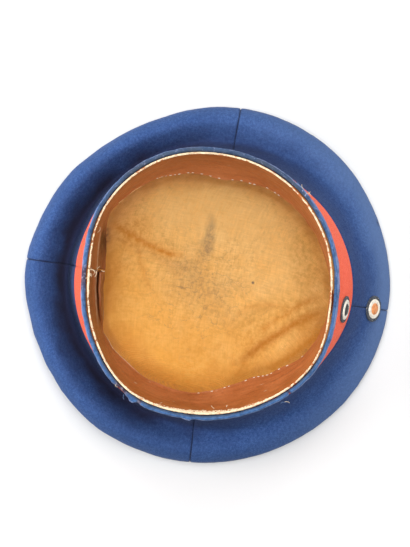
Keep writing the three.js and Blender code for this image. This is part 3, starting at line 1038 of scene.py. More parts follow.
def blot_group():
    """A ragged oval mark round a place."""
    group, given, result = shader_group("blot", [
        ("Place", "NodeSocketVector", (0, 0, 0)),
        ("Turn", "NodeSocketVector", (0, 0, 0)),
        ("Size", "NodeSocketVector", (0.01, 0.01, 1)),
        ("Softness", "NodeSocketFloat", 0.5),
        ("Ragged", "NodeSocketFloat", 0.4),
    ], [("Mask", "NodeSocketFloat")])
    where = object_place(group)
    off = add_node(group, "ShaderNodeVectorMath", {0: where, 1: given.outputs["Place"]},
                   operation="SUBTRACT")
    turned = add_node(group, "ShaderNodeVectorRotate",
                      {"Vector": off.outputs[0], "Rotation": given.outputs["Turn"]},
                      rotation_type="EULER_XYZ")
    share = add_node(group, "ShaderNodeVectorMath", {0: turned.outputs[0], 1: given.outputs["Size"]},
                     operation="DIVIDE")
    far = add_node(group, "ShaderNodeVectorMath", {0: share.outputs[0]}, operation="LENGTH")
    rough = math_node(group, "SUBTRACT", noise_at(group, where, 160, 5, 0.7), 0.5)
    rough = times(group, times(group, rough, given.outputs["Ragged"]), 4.0)
    edge = plus(group, far.outputs["Value"], rough)
    low = math_node(group, "SUBTRACT", 1.0, given.outputs["Softness"])
    high = plus(group, 1.0, given.outputs["Softness"])
    fill_all(group, result, {"Mask": stretch(group, edge, low, high, 1, 0, True)})
    return group


GROUPS = {
    "napped_cloth": nap_group,
    "leather_grain": grain_group,
    "cotton_weave": weave_group,
    "blot": blot_group,
}


def place_group(tree, name, inputs=None):
    """A shader group placed in a material, made the first time that it is asked for."""
    node = tree.nodes.new("ShaderNodeGroup")
    node.node_tree = bpy.data.node_groups.get(name) or GROUPS[name]()
    fill_all(tree, node, inputs or {})
    return node


def new_material(name, colour):
    """A material with an empty tree, one plain shader and its output."""
    material = bpy.data.materials.new(name)
    material.use_nodes = True
    material.diffuse_color = (*colour[:3], 1)
    tree = material.node_tree
    tree.nodes.clear()
    shader = tree.nodes.new("ShaderNodeBsdfPrincipled")
    output = tree.nodes.new("ShaderNodeOutputMaterial")
    tree.links.new(shader.outputs["BSDF"], output.inputs["Surface"])
    return material, tree, shader


def shade(colour, share):
    """A colour made darker or lighter by a share."""
    return tuple(min(part * share, 1.0) for part in colour[:3])


def masked(tree, name, strength=None):
    """The value of one of the piece's own masks, or a share of it."""
    value = add_node(tree, "ShaderNodeAttribute", attribute_name=name).outputs["Fac"]
    return value if strength is None else times(tree, value, strength)


def lay(tree, colour, *layers):
    """Lays colours over a colour, each a share and the colour that it lays."""
    for share, layer in layers:
        colour = mix_colours(tree, share, colour, layer)
    return colour


def repaint(material, *layers):
    """Lays colours over a material's own."""
    tree = material.node_tree
    socket = tree.nodes["Principled BSDF"].inputs["Base Color"]
    tree.links.new(lay(tree, socket.links[0].from_socket, *layers), socket)
    return material


def wool(name, colour, raised, rubbed, patches=0.3, sheen=0.07, sheen_colour=(0.6, 0.72, 0.95)):
    """Milled wool cloth with a short nap that catches the light at its edges."""
    material, tree, shader = new_material(name, colour)
    look = {"Colour": colour, "Raised": raised, "Rubbed": rubbed, "Nap": 0.95, "Patches": patches}
    nap = place_group(tree, "napped_cloth", look)
    fill_all(tree, shader, {
        "Base Color": nap.outputs["Colour"],
        "Roughness": nap.outputs["Roughness"],
        "Normal": nap.outputs["Normal"],
        "Specular IOR Level": 0.12,
        "Sheen Weight": sheen,
        "Sheen Roughness": 0.45,
        "Sheen Tint": sheen_colour,
    })
    return material


def crown_cloth(colours):
    """The crown's blue cloth, with painted shade and dirt beside the band, a painted sheen along its turned
    edge and painted light on its outer part towards one side.
    """
    material = wool("crown_cloth", colours.crown, colours.crown_raised, colours.crown_rubbed)
    tree = material.node_tree
    lint = stretch(tree, noise_at(tree, object_place(tree), 620, 2, 0.5), 0.7, 0.78, 0, 0.55)
    return repaint(
        material,
        # Painted light towards the crown's edge, strongest on one side
        (masked(tree, "side_light", 0.6), colours.crown_side_light),
        (lint, colours.crown_lint),
        # Painted shade, with some dirt, beside the band
        (masked(tree, "deep", DEEP_SHARE), colours.crown_shade_and_dirt),
        # A painted sheen along the crown's widest edge
        (masked(tree, "edge_sheen", 0.3), colours.crown_edge_sheen),
    )


def band_cloth(colours):
    """The band's red cloth, darker at its foot, along its seam and behind the torn edging."""
    material = wool("band_cloth", colours.band, colours.band_raised, shade(colours.band, 0.8), 0.25, 0.3,
                    (1, 0.6, 0.45))
    return repaint(material, (masked(material.node_tree, "darkened", 0.75), shade(colours.band, 0.25)))


def edging_cloth(colours):
    """The edging's cloth, with a painted sheen along its outer line, painted shade on the inner side of its
    fold and bare where it is torn.
    """
    material = wool("edging_cloth", colours.edging, colours.edging_raised, shade(colours.edging, 0.5), 0.4)
    tree = material.node_tree
    where = object_place(tree)
    flecks = noise_at(tree, where, 380, 4, 0.7)
    soiled = noise_at(tree, where, 170, 3, 0.6)
    torn = mix_colours(tree, stretch(tree, flecks, 0.5, 0.66), colours.torn_and_shadow, colours.edging_thread)
    worn = stretch(tree, flecks, 0.58, 0.7, 0, 0.7)
    return repaint(
        material,
        # A painted sheen along the edging's outer line
        (masked(tree, "line", 0.6), colours.edging_sheen_and_wear),
        # Painted shade on the inner side of the fold
        (masked(tree, "fold"), colours.edging_fold_shade),
        (stretch(tree, soiled, 0.48, 0.66, 0, 0.6), shade(colours.edging, 0.4)),
        # Worn flecks in the same paler colour
        (masked(tree, "wear", worn), colours.edging_sheen_and_wear),
        (masked(tree, "bare"), torn),
    )


def sweat_leather(colours):
    """Brown leather with a ragged cream raw edge, scuffs, streaks and a soft shine, painted shade at the
    back and in its fold, and painted highlights on its ridge and free edge.
    """
    material, tree, shader = new_material("sweat_leather", colours.leather)
    grain = place_group(tree, "leather_grain",
                        {"Colour": colours.leather, "Worn": colours.leather_worn, "Depth": 0.45})
    where = object_place(tree)
    along = own_map(tree)
    ragged = noise_at(tree, where, 420, 3, 0.6)
    spread = noise_at(tree, where, 38, 2, 0.5)
    flecks = noise_at(tree, where, 700, 2, 0.5)
    breaks = noise_at(tree, where, 260, 4, 0.7)
    streaks = noise_at(tree, stretched_map(tree, along, (22, 420, 1)), 1, 3, 0.6)
    scuffed = noise_at(tree, stretched_map(tree, along, (150, 500, 1)), 1, 1, 0.4)
    down = masked(tree, "down")

    limit = plus(tree, stretch(tree, ragged, 0.3, 0.7, -0.75 * MM, 0.75 * MM),
                 stretch(tree, spread, 0.35, 0.65, -0.1 * MM, 0.75 * MM))
    limit = plus(tree, limit, masked(tree, "frayed", stretch(tree, ragged, 0.3, 0.65, *FRAYED_DEPTH)))
    raw = stretch(tree, math_node(tree, "SUBTRACT", limit, down), -0.12 * MM, 0.12 * MM)
    raw = math_node(tree, "MAXIMUM", raw, masked(tree, "raw"))
    cream = lay(
        tree,
        colours.raw_edge,
        (stretch(tree, flecks, 0.42, 0.7), shade(colours.raw_edge, 0.72)),
        (stretch(tree, breaks, 0.54, 0.66, 0, 0.85), colours.leather_worn),
    )
    brown = lay(
        tree,
        grain.outputs["Colour"],
        (stretch(tree, down, 0.0, LEATHER_DEPTH, 0.0, 0.35), colours.leather_deep),
        (stretch(tree, streaks, 0.5, 0.68, 0, 0.45), shade(colours.leather, 0.62)),
        (stretch(tree, streaks, 0.42, 0.3, 0, 0.35), colours.leather_worn),
        (stretch(tree, scuffed, 0.74, 0.79, 0, 0.7), shade(colours.raw_edge, 0.75)),
        # Painted shade on the sweatband at the back
        (masked(tree, "dim", 0.9), shade(colours.leather, 0.5)),
        (masked(tree, "pale", 0.4), colours.leather_pale),
        # Painted shade in the fold past the join and under the ridge before it
        (masked(tree, "pocket", 0.85), shade(colours.leather, 0.22)),
        # A painted highlight on the ridge, on the fold and along the free edge
        (masked(tree, "crest", stretch(tree, ragged, 0.3, 0.6, 0.25, 0.7)), shade(colours.raw_edge, 0.66)),
    )
    fill_all(tree, shader, {
        "Base Color": mix_colours(tree, raw, brown, cream),
        "Roughness": math_node(tree, "MAXIMUM", grain.outputs["Roughness"], times(tree, raw, 0.9)),
        "Normal": grain.outputs["Normal"],
        "Specular IOR Level": 0.3,
    })
    return material


def stained(tree, sizes, colours, colour, mottled):
    """A colour with the lining's stains laid over it, one of them a painted shadow."""
    # The dark tone is the edging's torn colour, here used for a painted shadow
    tones = {"grey": colours.grey_stain_and_shade, "orange": colours.orange_stain_and_shade, "olive": colours.stain_olive,
             "pale": colours.cotton_pale, "dark": colours.torn_and_shadow}
    broken = stretch(tree, mottled, 0.38, 0.62, 0.55, 1.45)
    for stain in STAINS:
        blot = place_group(tree, "blot", {
            "Place": spot_on_floor(sizes, stain["at"], stain["out"]),
            "Turn": (0, 0, math.radians(stain["turn"])),
            "Size": (stain["long"] * MM, stain["wide"] * MM, 1),
            "Softness": 0.6,
        })
        share = times(tree, times(tree, blot.outputs["Mask"], stain["strength"]), broken, True)
        colour = mix_colours(tree, share, colour, tones[stain["tone"]])
    return colour


def wrinkles(tree, sizes, where, mottled, spotted):
    """How strongly the painted shade of fine wrinkles shows round the middle of the lining."""
    bent = add_node(tree, "ShaderNodeCombineXYZ", {"X": noise_at(tree, where, 70, 3, 0.6), "Y": mottled})
    push = {0: bent.outputs["Vector"], 1: (0.012, 0.012, 0.0), 2: where}
    pushed = add_node(tree, "ShaderNodeVectorMath", push, operation="MULTIPLY_ADD")
    cells = add_node(tree, "ShaderNodeTexVoronoi", {"Vector": pushed.outputs[0], "Scale": 105.0},
                     feature="DISTANCE_TO_EDGE")
    middle = place_group(tree, "blot", {
        "Place": spot_on_floor(sizes, 230, 10),
        "Size": (38 * MM, 42 * MM, 1),
        "Softness": 0.7,
        "Ragged": 0.5,
    })
    share = times(tree, stretch(tree, cells.outputs["Distance"], 0.035, 0.005), middle.outputs["Mask"])
    return times(tree, share, stretch(tree, spotted, 0.4, 0.6, 0, 0.5))


def lining_cotton(sizes, colours):
    """Ochre cotton with slubs, painted shade with some dirt along its creases, sweat stains with painted
    shade round its rim, painted shade of fine wrinkles and grey handling marks.
    """
    material, tree, shader = new_material("lining_cotton", colours.cotton)
    weave = place_group(tree, "cotton_weave", {"Threads": LINING_THREADS})
    where = object_place(tree)
    cloudy = noise_at(tree, where, 42, 5, 0.62)
    mottled = noise_at(tree, where, 320, 3, 0.65)
    spotted = noise_at(tree, where, 145, 3, 0.6)
    colour = lay(
        tree,
        mix_colours(tree, stretch(tree, cloudy, 0.34, 0.72), colours.cotton, colours.cotton_pale),
        (stretch(tree, weave.outputs["Slubs"], 0.38, 0.62, 0, 0.7), shade(colours.cotton, 0.7)),
        (stretch(tree, weave.outputs["Height"], 0.55, 0.15, 0, 0.35), shade(colours.cotton, 0.5)),
        (stretch(tree, spotted, 0.48, 0.7, 0, 0.34), shade(colours.cotton, 0.68)),
        (stretch(tree, mottled, 0.48, 0.7, 0, 0.5), shade(colours.cotton, 0.5)),
    )
    creased = times(tree, masked(tree, "crease"), stretch(tree, mottled, 0.35, 0.6, 0.5, 0.85), True)
    colour = lay(
        tree,
        stained(tree, sizes, colours, colour, mottled),
        (masked(tree, "warm", 0.65), colours.cotton_warm),
        # Sweat stains, and painted shade all round the rim beside the sweatband
        (masked(tree, "sweat_and_shade", stretch(tree, spotted, 0.3, 0.65, 0.55, 0.95)), colours.sweat_and_shade_colour),
        # Painted shade where the cotton meets the sweatband's free edge
        (masked(tree, "edge", 0.4), shade(colours.orange_stain_and_shade, 0.8)),
        # Painted shade of fine wrinkles
        (wrinkles(tree, sizes, where, mottled, spotted), colours.grey_stain_and_shade),
        # Painted shade, with some dirt, along the creases
        (creased, colours.orange_stain_and_shade),
    )
    fill_all(tree, shader, {
        "Base Color": colour,
        "Normal": relief(tree, weave.outputs["Height"], 0.8, 0.3 * MM),
        "Roughness": 0.92,
        "Specular IOR Level": 0.15,
        "Sheen Weight": 0.1,
    })
    return material


def worn_paint(name, paint, metal, wear, roughness=0.42):
    """Paint on stamped metal, rubbed through to the metal in small spots."""
    material, tree, shader = new_material(name, paint)
    where = object_place(tree)
    chips = noise_at(tree, where, 1100, 4, 0.7)
    film = noise_at(tree, where, 420, 3, 0.6)
    bare = stretch(tree, chips, 0.76 - wear, 0.8 - wear)
    tint = mix_colours(tree, stretch(tree, film, 0.35, 0.7), paint, shade(paint, 0.62))
    fill_all(tree, shader, {
        "Base Color": mix_colours(tree, bare, tint, metal),
        "Metallic": times(tree, bare, 0.8),
        "Roughness": stretch(tree, film, 0.3, 0.7, roughness, roughness + 0.2),
        "Normal": relief(tree, chips, 0.3, 0.1 * MM),
    })
    return material


def thread_fibre(name, colour):
    """Spun thread."""
    material, tree, shader = new_material(name, colour)
    twist = noise_at(tree, object_place(tree), 2400, 2, 0.5)
    fill_all(tree, shader, {
        "Base Color": mix_colours(tree, twist, colour, shade(colour, 0.6)),
        "Roughness": 0.8,
        "Sheen Weight": 0.2,
    })
    return material


# What a user would change


def length(name, description, default):
    """A length among the sizes."""
    return FloatProperty(name=name, description=description, default=default, unit="LENGTH")


def colour(name, description, *parts):
    """A colour among the colours, as red, green and blue."""
    return FloatVectorProperty(name=name, description=description, subtype="COLOR", size=3, default=parts)


class CapSizes(bpy.types.PropertyGroup):
    """Sizes that set the cap's form."""

    crown_radius: length("Crown radius", "Mean radius of the crown at its widest", 135.7 * MM)
    seam_radius: length("Seam radius", "Mean outer radius of the seam between crown and band", 97.9 * MM)
    rim_radius: length("Rim radius", "Mean outer radius of the mouth", 94 * MM)
    cloth: length("Cloth", "Thickness of the wool cloth", 1.8 * MM)
    edging: length("Edging", "Width of the folded edging", 3 * MM)
    leather: length("Leather", "Thickness of the sweatband", 1.4 * MM)
    cotton: length("Cotton", "Thickness of the lining", 1 * MM)
    softness: length("Softness", "How uneven the crown's cloth lies", 0.7 * MM)
    seam_depth: length("Seam depth", "How far the cloth dips into a seam", 0.5 * MM)
    stitch_pitch: length("Stitch pitch", "Distance between stitches of the sweatband", 3.2 * MM)
    cockade_ribs: IntProperty(
        name="Cockade ribs", description="Ribs of a cockade's milled ring", default=44, min=12, max=90)


class CapColours(bpy.types.PropertyGroup):
    """Colours of the cap's materials."""

    crown: colour("Crown", "Blue cloth", 0.017, 0.050, 0.178)
    crown_raised: colour("Crown nap", "Raised nap of the blue cloth", 0.050, 0.112, 0.30)
    crown_rubbed: colour("Crown rubbed", "Rubbed places of the blue cloth", 0.022, 0.048, 0.145)
    band: colour("Band", "Red cloth", 0.82, 0.052, 0.016)
    band_raised: colour("Band nap", "Raised nap of the red cloth", 0.95, 0.115, 0.042)
    edging: colour("Edging", "Blue edging cloth", 0.042, 0.108, 0.27)
    edging_raised: colour("Edging nap", "Raised nap of the edging", 0.088, 0.19, 0.40)
    # The edging fold colour is painted shade on the fold's inner side
    edging_fold_shade: colour("Edging fold", "Dusty inner side of the edging's fold", 0.06, 0.08, 0.12)
    # The torn colour also serves as a painted shadow on the lining
    torn_and_shadow: colour("Edging torn", "What shows where the edging is torn", 0.05, 0.03, 0.045)
    leather: colour("Leather", "Brown leather", 0.41, 0.112, 0.025)
    leather_worn: colour("Leather worn", "Paler places of the leather", 0.56, 0.178, 0.055)
    leather_pale: colour("Leather pale", "Rubbed leather at the side", 0.66, 0.25, 0.088)
    leather_deep: colour("Leather deep", "Leather near its free edge", 0.34, 0.115, 0.045)
    raw_edge: colour("Raw edge", "Cream edge of the leather", 0.92, 0.74, 0.50)
    cotton: colour("Cotton", "Ochre cotton", 0.97, 0.53, 0.145)
    cotton_pale: colour("Cotton pale", "Paler places of the cotton", 1.0, 0.65, 0.25)
    # The grey stain colour also paints the shade of fine wrinkles
    grey_stain_and_shade: colour("Grey stain", "Handling marks", 0.22, 0.16, 0.10)
    # The orange stain colour also paints shade along the creases and beside the sweatband
    orange_stain_and_shade: colour("Orange stain", "Sweat stains", 0.56, 0.22, 0.03)
    cotton_warm: colour("Cotton warm", "Golden side of the cotton", 0.78, 0.36, 0.05)
    # The sweat colour also paints shade round the lining's rim
    sweat_and_shade_colour: colour("Sweat", "Golden rim of the lining beside the sweatband", 0.62, 0.25, 0.04)
    stain_olive: colour("Olive stain", "Faded places", 0.56, 0.28, 0.055)
    # Painted shade, with some dirt, beside the band
    crown_shade_and_dirt: colour("Crown deep", "Dirty cloth beside the band", 0.018, 0.014, 0.029)
    # A painted sheen along the crown's edge
    crown_edge_sheen: colour("Crown dust", "Dust along the crown's edge", 0.26, 0.27, 0.30)
    # Painted light towards the crown's edge
    crown_side_light: colour("Crown faded", "Faded cloth towards the crown's edge", 0.125, 0.20, 0.37)
    crown_lint: colour("Crown lint", "Lint on the blue cloth", 0.10, 0.17, 0.33)
    # A painted sheen along the edging's outer line, also used for its worn flecks
    edging_sheen_and_wear: colour("Edging line", "Worn outer line of the edging", 0.30, 0.33, 0.52)
    edging_thread: colour("Edging thread", "Threads in a torn place of the edging", 0.34, 0.30, 0.36)
    enamel_white: colour("White enamel", "Smooth ring of a cockade", 0.90, 0.84, 0.72)
    enamel_orange: colour("Orange enamel", "Boss of the upper cockade", 0.80, 0.30, 0.10)
    enamel_black: colour("Black enamel", "Boss of the lower cockade", 0.02, 0.022, 0.026)
    enamel_dark: colour("Dark enamel", "Milled ring of a cockade", 0.045, 0.055, 0.075)
    bare_metal: colour("Bare metal", "Metal where the paint is worn", 0.50, 0.47, 0.42)
    white_thread: colour("White thread", "Sewing thread", 0.88, 0.76, 0.58)


# The crown


def side_lines(sizes, angle, fractions):
    """Middle lines of the crown's side at angles, as (out, up) points, and their mean length."""
    sunk = sunk_share(angle)[:, None]
    seam = (sizes.seam_radius * seam_share(angle) - sizes.cloth / 2)[:, None]
    edge = (sizes.crown_radius * crown_share(angle) - sizes.cloth / 2)[:, None]
    low, high = sizes.cloth / 2, CROWN_HEIGHT - SEAM_GAP / 2
    taut = columns(SIDE_SECTION, "taut_out", "taut_up")
    dropped = columns(SIDE_SECTION, "sunk_out", "sunk_up")
    out = seam + (edge - seam) * towards(sunk, taut[:, 0], dropped[:, 0])
    up = low + (high - low) * towards(sunk, taut[:, 1], dropped[:, 1])
    hem = edge - HEM_WIDTH
    out = np.concatenate([out, hem + HEM_WIDTH / 2, hem], axis=1)
    up = np.concatenate([up, np.full((len(angle), 2), low)], axis=1)
    dense = curve_through(np.stack([out, up], axis=-1), 240)
    spread = [spaced(line, fractions) for line in dense]
    lines = np.stack([line for line, _ in spread])
    return lines, float(np.mean([length for _, length in spread]))


def seat_calm(spots, seat):
    """0 at a cockade's seat and 1 well away from it, so that the cloth lies flat behind the cockade."""
    away = np.linalg.norm(spots - np.array(seat["point"]), axis=-1)
    return 1 - bell(away, SEAT_CALM)


def crown_seat(sizes):
    """Where the upper cockade sits: a point of the crown's outer face, and the way that it faces."""
    foot = sizes.seam_radius * seam_share(0.0)
    target = foot + (sizes.crown_radius * crown_share(0.0) - foot) * UPPER_COCKADE_OUT
    line, _ = side_lines(sizes, np.array([0.0]), np.linspace(0, 1, 400))
    face = (line + line_normals(line) * sizes.cloth / 2)[0]
    near = int(np.argmax(face[:, 0] > target))
    way = face[near + 8] - face[near - 8]
    facing = np.array([-way[1], way[0]]) / np.linalg.norm(way)
    return {"point": place(sizes, 0.0, *face[near]), "facing": (0, -facing[0], facing[1])}


def band_seat(sizes):
    """Where the lower cockade sits: a point of the band's outer face, and the way that it faces."""
    up = CROWN_HEIGHT + (RIM_HEIGHT - CROWN_HEIGHT) * LOWER_COCKADE_UP
    angle = LOWER_COCKADE_AT
    lean = wall_radius(sizes, angle, RIM_HEIGHT) - wall_radius(sizes, angle, CROWN_HEIGHT)
    facing = np.array([RIM_HEIGHT - CROWN_HEIGHT, -lean])
    level, up_part = facing / np.linalg.norm(facing)
    return {
        "point": place(sizes, angle, wall_radius(sizes, angle, up), up),
        "facing": (level * math.sin(angle), -level * math.cos(angle), up_part),
    }


def quarter_masks(sizes, turns, rows, line, spots, from_seam):
    """Where a quarter's cloth gets painted shade and dirt, a painted sheen and painted light, by its angles,
    rows and middle lines.
    """
    out, up = line[..., 0], line[..., 1]
    sunk = sunk_share(turns)[:, None]
    far = rows[None, :] + 0.02 * ripple(spots, 24 * MM, 13) + 0.008 * ripple(spots, 7 * MM, 15)
    # Painted shade, with some dirt, beside the band, less of it on the lit neck of a sunk side
    deep = 1 - smooth(far, towards(sunk, *DEEP_FROM), towards(sunk, *DEEP_TO))
    deep = deep * (1 - NECK_LESS_SHADE * sunk * (1 - smooth(rows, *NECK_ROWS))[None, :])
    deep = np.maximum(deep * (0.4 + 0.6 * smooth(sunk, 0.1, 0.75)), 0.6 * bell(from_seam, 0.6 * MM))
    from_nick = np.hypot(out - NICK["out"], up - NICK["up"])
    nick = bell(apart(turns, NICK["at"])[:, None] * out, 1.7 * MM) * bell(from_nick, 1.1 * MM)
    from_widest = sizes.crown_radius * crown_share(turns)[:, None] - out
    # Painted light towards the edge, strongest on one side
    side_light_weight = 0.15 + 0.85 * np.maximum(np.cos(turns - SIDE_LIGHT_AT), 0) ** 1.5
    return {
        "deep": np.maximum(deep, nick),
        # A painted sheen along the widest edge
        "edge_sheen": bell(from_widest, 1.5 * MM) * smooth(ripple(spots, 12 * MM, 17), -1.4, 1.2),
        "side_light": smooth(far, *SIDE_LIGHT_ROWS) * side_light_weight[:, None],
    }


def crown_quarter(sizes, material, quarter):
    """One quarter of the crown's side: a wall of cloth whose edges dip into the seams."""
    start, end = math.radians(quarter["start"]), math.radians(quarter["end"])
    turns = start + (end - start) * fine_ended(sizes.crown_radius * (end - start), QUARTER_STEPS[0])
    rows = fine_ended(SIDE_LENGTH, QUARTER_STEPS[1])
    line, length = side_lines(sizes, turns, rows)
    out = line[..., 0]
    angle = turns[:, None] + SEWN_GAP / 2 / out * np.linspace(1, -1, len(turns))[:, None]
    from_seam = out * np.minimum(turns - start, end - turns)[:, None]
    from_band = rows[None, :] * length
    from_hem = (1 - rows)[None, :] * length
    spots = place(sizes, angle, out, line[..., 1])
    loose = np.clip(from_band / (12 * MM), 0, 1) * np.clip(line[..., 1] / (12 * MM) - 0.3, 0, 1)
    swell = sizes.softness * loose * (ripple(spots, 62 * MM, 3) + 0.35 * ripple(spots, 21 * MM, 5))
    swell = swell * seat_calm(spots, crown_seat(sizes)) + 0.05 * MM * ripple(spots, 5 * MM, 9)
    sharp = bell(from_seam, 0.8 * MM) + 0.4 * np.exp(-from_seam / (6 * MM))
    dip = sizes.seam_depth * sharp * loose ** 0.3
    gathers = np.sin(from_band / (3.1 * MM) * TURN + start) * np.exp(-from_seam / (4 * MM))
    pucker = 0.1 * MM * gathers * loose
    roll = 0.9 * MM * bell(from_band, 1.8 * MM)
    normal = line_normals(line)
    middle = line + normal * (swell - dip + pucker - roll)[..., None]
    half = sizes.cloth / 2
    thick = rounding(from_seam, SEAM_ROUND) * rounding(np.minimum(from_band, from_hem), half) * half
    faces = []
    for side in (middle + normal * thick[..., None], middle - normal * thick[..., None]):
        faces.append(place(sizes, angle, side[..., 0], np.maximum(side[..., 1], 0)))
    masks = quarter_masks(sizes, turns, rows, line, spots, from_seam)
    across = sizes.crown_radius * SIDE_MAP * turns
    return wall(f"cloth_{quarter['side']}", *faces, across, rows * length, material, masks=masks)


def crown_top(sizes, material):
    """The flat round top, which the cap lies on, with a softly rounded edge."""
    angle = full_turn(TOP_SIDES)
    out = sizes.crown_radius * crown_share(angle) - sizes.cloth / 2 - HEM_WIDTH - SEAM_GAP
    share = 1 - fine_ended(2 * TOP_RADIUS, TOP_STEP)
    share = np.concatenate([share[share > 0.5] * 2 - 1, [0]])
    spread = out[:, None] * share[None, :]
    half = sizes.cloth / 2
    thick = rounding(out[:, None] - spread, half) * half
    under = place(sizes, angle[:, None], spread, half - thick)
    upper = place(sizes, angle[:, None], spread, half + thick)
    ring = np.append(angle, TURN) * sizes.crown_radius * ROUND_MAP
    return wall("cloth_top", under, upper, ring, (1 - share) * sizes.crown_radius, material,
                is_ring=True, has_pole=True)


# Band and edging


def red_band(sizes, material):
    """The upright band, a little full between its two edges and seamed at the back."""
    angle = full_turn(BAND_SIDES)
    low, high = CROWN_HEIGHT + SEAM_GAP / 2, EDGING_FOOT - SEAM_GAP
    share = fine_ended(high - low, BAND_STEP)
    up = low + (high - low) * share[None, :]
    from_foot = share[None, :] * (high - low)
    spots = place(sizes, angle[:, None], wall_radius(sizes, angle[:, None], up), up)
    calm = seat_calm(spots, band_seat(sizes))
    swell = (0.5 * MM + 0.22 * MM * ripple(spots, 34 * MM, 21)) * np.sin(math.pi * share)[None, :] * calm
    roll = 0.8 * MM * bell(from_foot, 1.6 * MM)
    off = apart(angle, BAND_SEAM_AT)[:, None] * sizes.seam_radius
    seam = 0.35 * MM * bell(off, 0.9 * MM)
    half = sizes.cloth / 2
    ends = np.minimum(from_foot, (high - low) * (1 - share)[None, :])
    thick = rounding(ends, half) * half
    middle = wall_radius(sizes, angle[:, None], up) - half + swell - roll - seam
    faces = [place(sizes, angle[:, None], middle + way * thick, up) for way in (1, -1)]
    ring = np.append(angle, TURN) * sizes.seam_radius
    torn = bell(apart(angle, TORN_AT)[:, None] * sizes.rim_radius, 9 * MM)
    torn = torn * smooth(share, 0.7, 0.95)[None, :]
    # Darker at the foot, along the seam and behind the torn edging
    masks = {"darkened": bell(from_foot, 2.2 * MM) + 0.6 * bell(off, 0.7 * MM) + 1.2 * torn}
    return wall("red_band", *faces, ring, share * (high - low), material, is_ring=True, masks=masks)


def edging_ring(sizes, material):
    """The edging's folded cloth, worn and torn in places, with one end lapped over the other."""
    angle = full_turn(EDGING_SIDES)
    section = curve_through(columns(EDGING_SECTION, "out", "up"), EDGING_POINTS)
    height = RIM_HEIGHT - EDGING_FOOT
    up = EDGING_FOOT + section[:, 1] * height
    bare, stand = np.zeros(len(angle)), np.zeros(len(angle))
    for mark in EDGING_MARKS:
        off = apart(angle, mark["at"]) * sizes.rim_radius / (mark["width"] * MM)
        spread = np.exp(-(off ** 4))
        stand += mark["out"] * MM * spread
        bare = np.maximum(bare, mark["bare"] * spread)
    lap = apart(angle, EDGING_LAP["at"]) * sizes.rim_radius
    lapped = smooth(lap, -EDGING_LAP["length"] * MM, 0) * (1 - smooth(lap, 0, 0.8 * MM))
    stand += EDGING_LAP["out"] * MM * lapped
    spots = place(sizes, angle[:, None], sizes.rim_radius, up[None, :])
    uneven = 0.16 * MM * ripple(spots, 9 * MM, 31) + 0.07 * MM * ripple(spots, 2.6 * MM, 33)
    outward = np.clip(section[:, 0] / 0.6 + 0.8, 0, 1)[None, :]
    out = wall_radius(sizes, angle[:, None], up[None, :]) + section[None, :, 0] * sizes.edging
    out = out + stand[:, None] * outward + uneven * 0.8
    lift = 0.12 * MM * ripple(spots, 14 * MM, 35)[:, :1] - 0.9 * MM * bare[:, None]
    high = np.minimum(up[None, :] + lift * section[None, :, 1] + uneven * 0.3, RIM_HEIGHT + 0.4 * MM)
    loops = place(sizes, angle[:, None], out, high)
    far = travel(section * [sizes.edging, height])
    far = np.append(far, far[-1] + sizes.edging)
    # The side where the fold gets the most painted shade
    shade_side = 0.6 + 0.4 * np.cos(angle - math.radians(EDGING_SHADE_AT))
    patchy = smooth(ripple(spots, 16 * MM, 37), -1.1, 0.9)
    scuffed = bell(apart(angle, SCUFFED_AT) * sizes.rim_radius, 5 * MM)
    fold_shade_from = 0.42 - 0.5 * smooth(np.cos(angle - math.radians(EDGING_SHADE_AT)), 0.2, 0.9)[:, None]
    fold = smooth(-section[None, :, 0] + 0.06 * patchy, fold_shade_from, fold_shade_from + 0.22)
    masks = {
        "bare": bare[:, None],
        # Painted shade on the inner side of the fold
        "fold": fold * (0.62 + 0.38 * shade_side[:, None]) * (0.75 + 0.25 * patchy),
        # A painted sheen along the outer line
        "line": smooth(section[:, 0], -0.1, 0.1)[None, :] * (0.4 + 0.6 * patchy),
        # Worn flecks, more on that side and at the scuffed place
        "wear": shade_side[:, None] + 2.5 * scuffed[:, None],
    }
    return loop_ring("edging", loops, np.append(angle, TURN) * sizes.rim_radius, far, material, masks)


# Sweatband


def leather_line(sizes, angle, share):
    """Middle of the sweatband at angles and shares of its depth: distances out and heights."""
    steps = np.linspace(0, 1, LEATHER_POINTS)
    past = np.degrees(np.mod(angle, TURN)) - JOIN_AT
    ridge = smooth(past, 3 - RIDGE_SWEEP, 0) * (past <= 0)
    fold = smooth(past, 0, 1.5) * (1 - smooth(past, FOLD_UNTIL, FOLD_END)) * (past > 0)
    weights = {"ridge": ridge, "fold": fold, "plain": 1 - ridge - fold}
    inward, down = 0, 0
    for kind, weight in weights.items():
        points = columns(LEATHER_SECTION, f"{kind}_in", f"{kind}_down")
        section = curve_through(points, LEATHER_POINTS)
        inward = inward + weight * np.interp(share, steps, section[:, 0])
        down = down + weight * np.interp(share, steps, section[:, 1])
    top = wall_radius(sizes, angle, RIM_HEIGHT) - sizes.edging - SEAM_GAP - sizes.leather / 2
    free = sizes.rim_radius * rim_share(angle) * leather_share(angle)
    free = free + NARROW_BY * near(angle, "narrow")
    bulge = FOLD_BULGE * near(angle, "bulged")
    proud = FRAYED_PROUD * near(angle, "frayed") * smooth(share, 0, 0.08) * (1 - smooth(share, 0.15, 0.6))
    out = top + (free - top) * inward - bulge * np.clip(share * 1.6, 0, 1) - proud
    return out, LEATHER_TOP - LEATHER_DEPTH * down


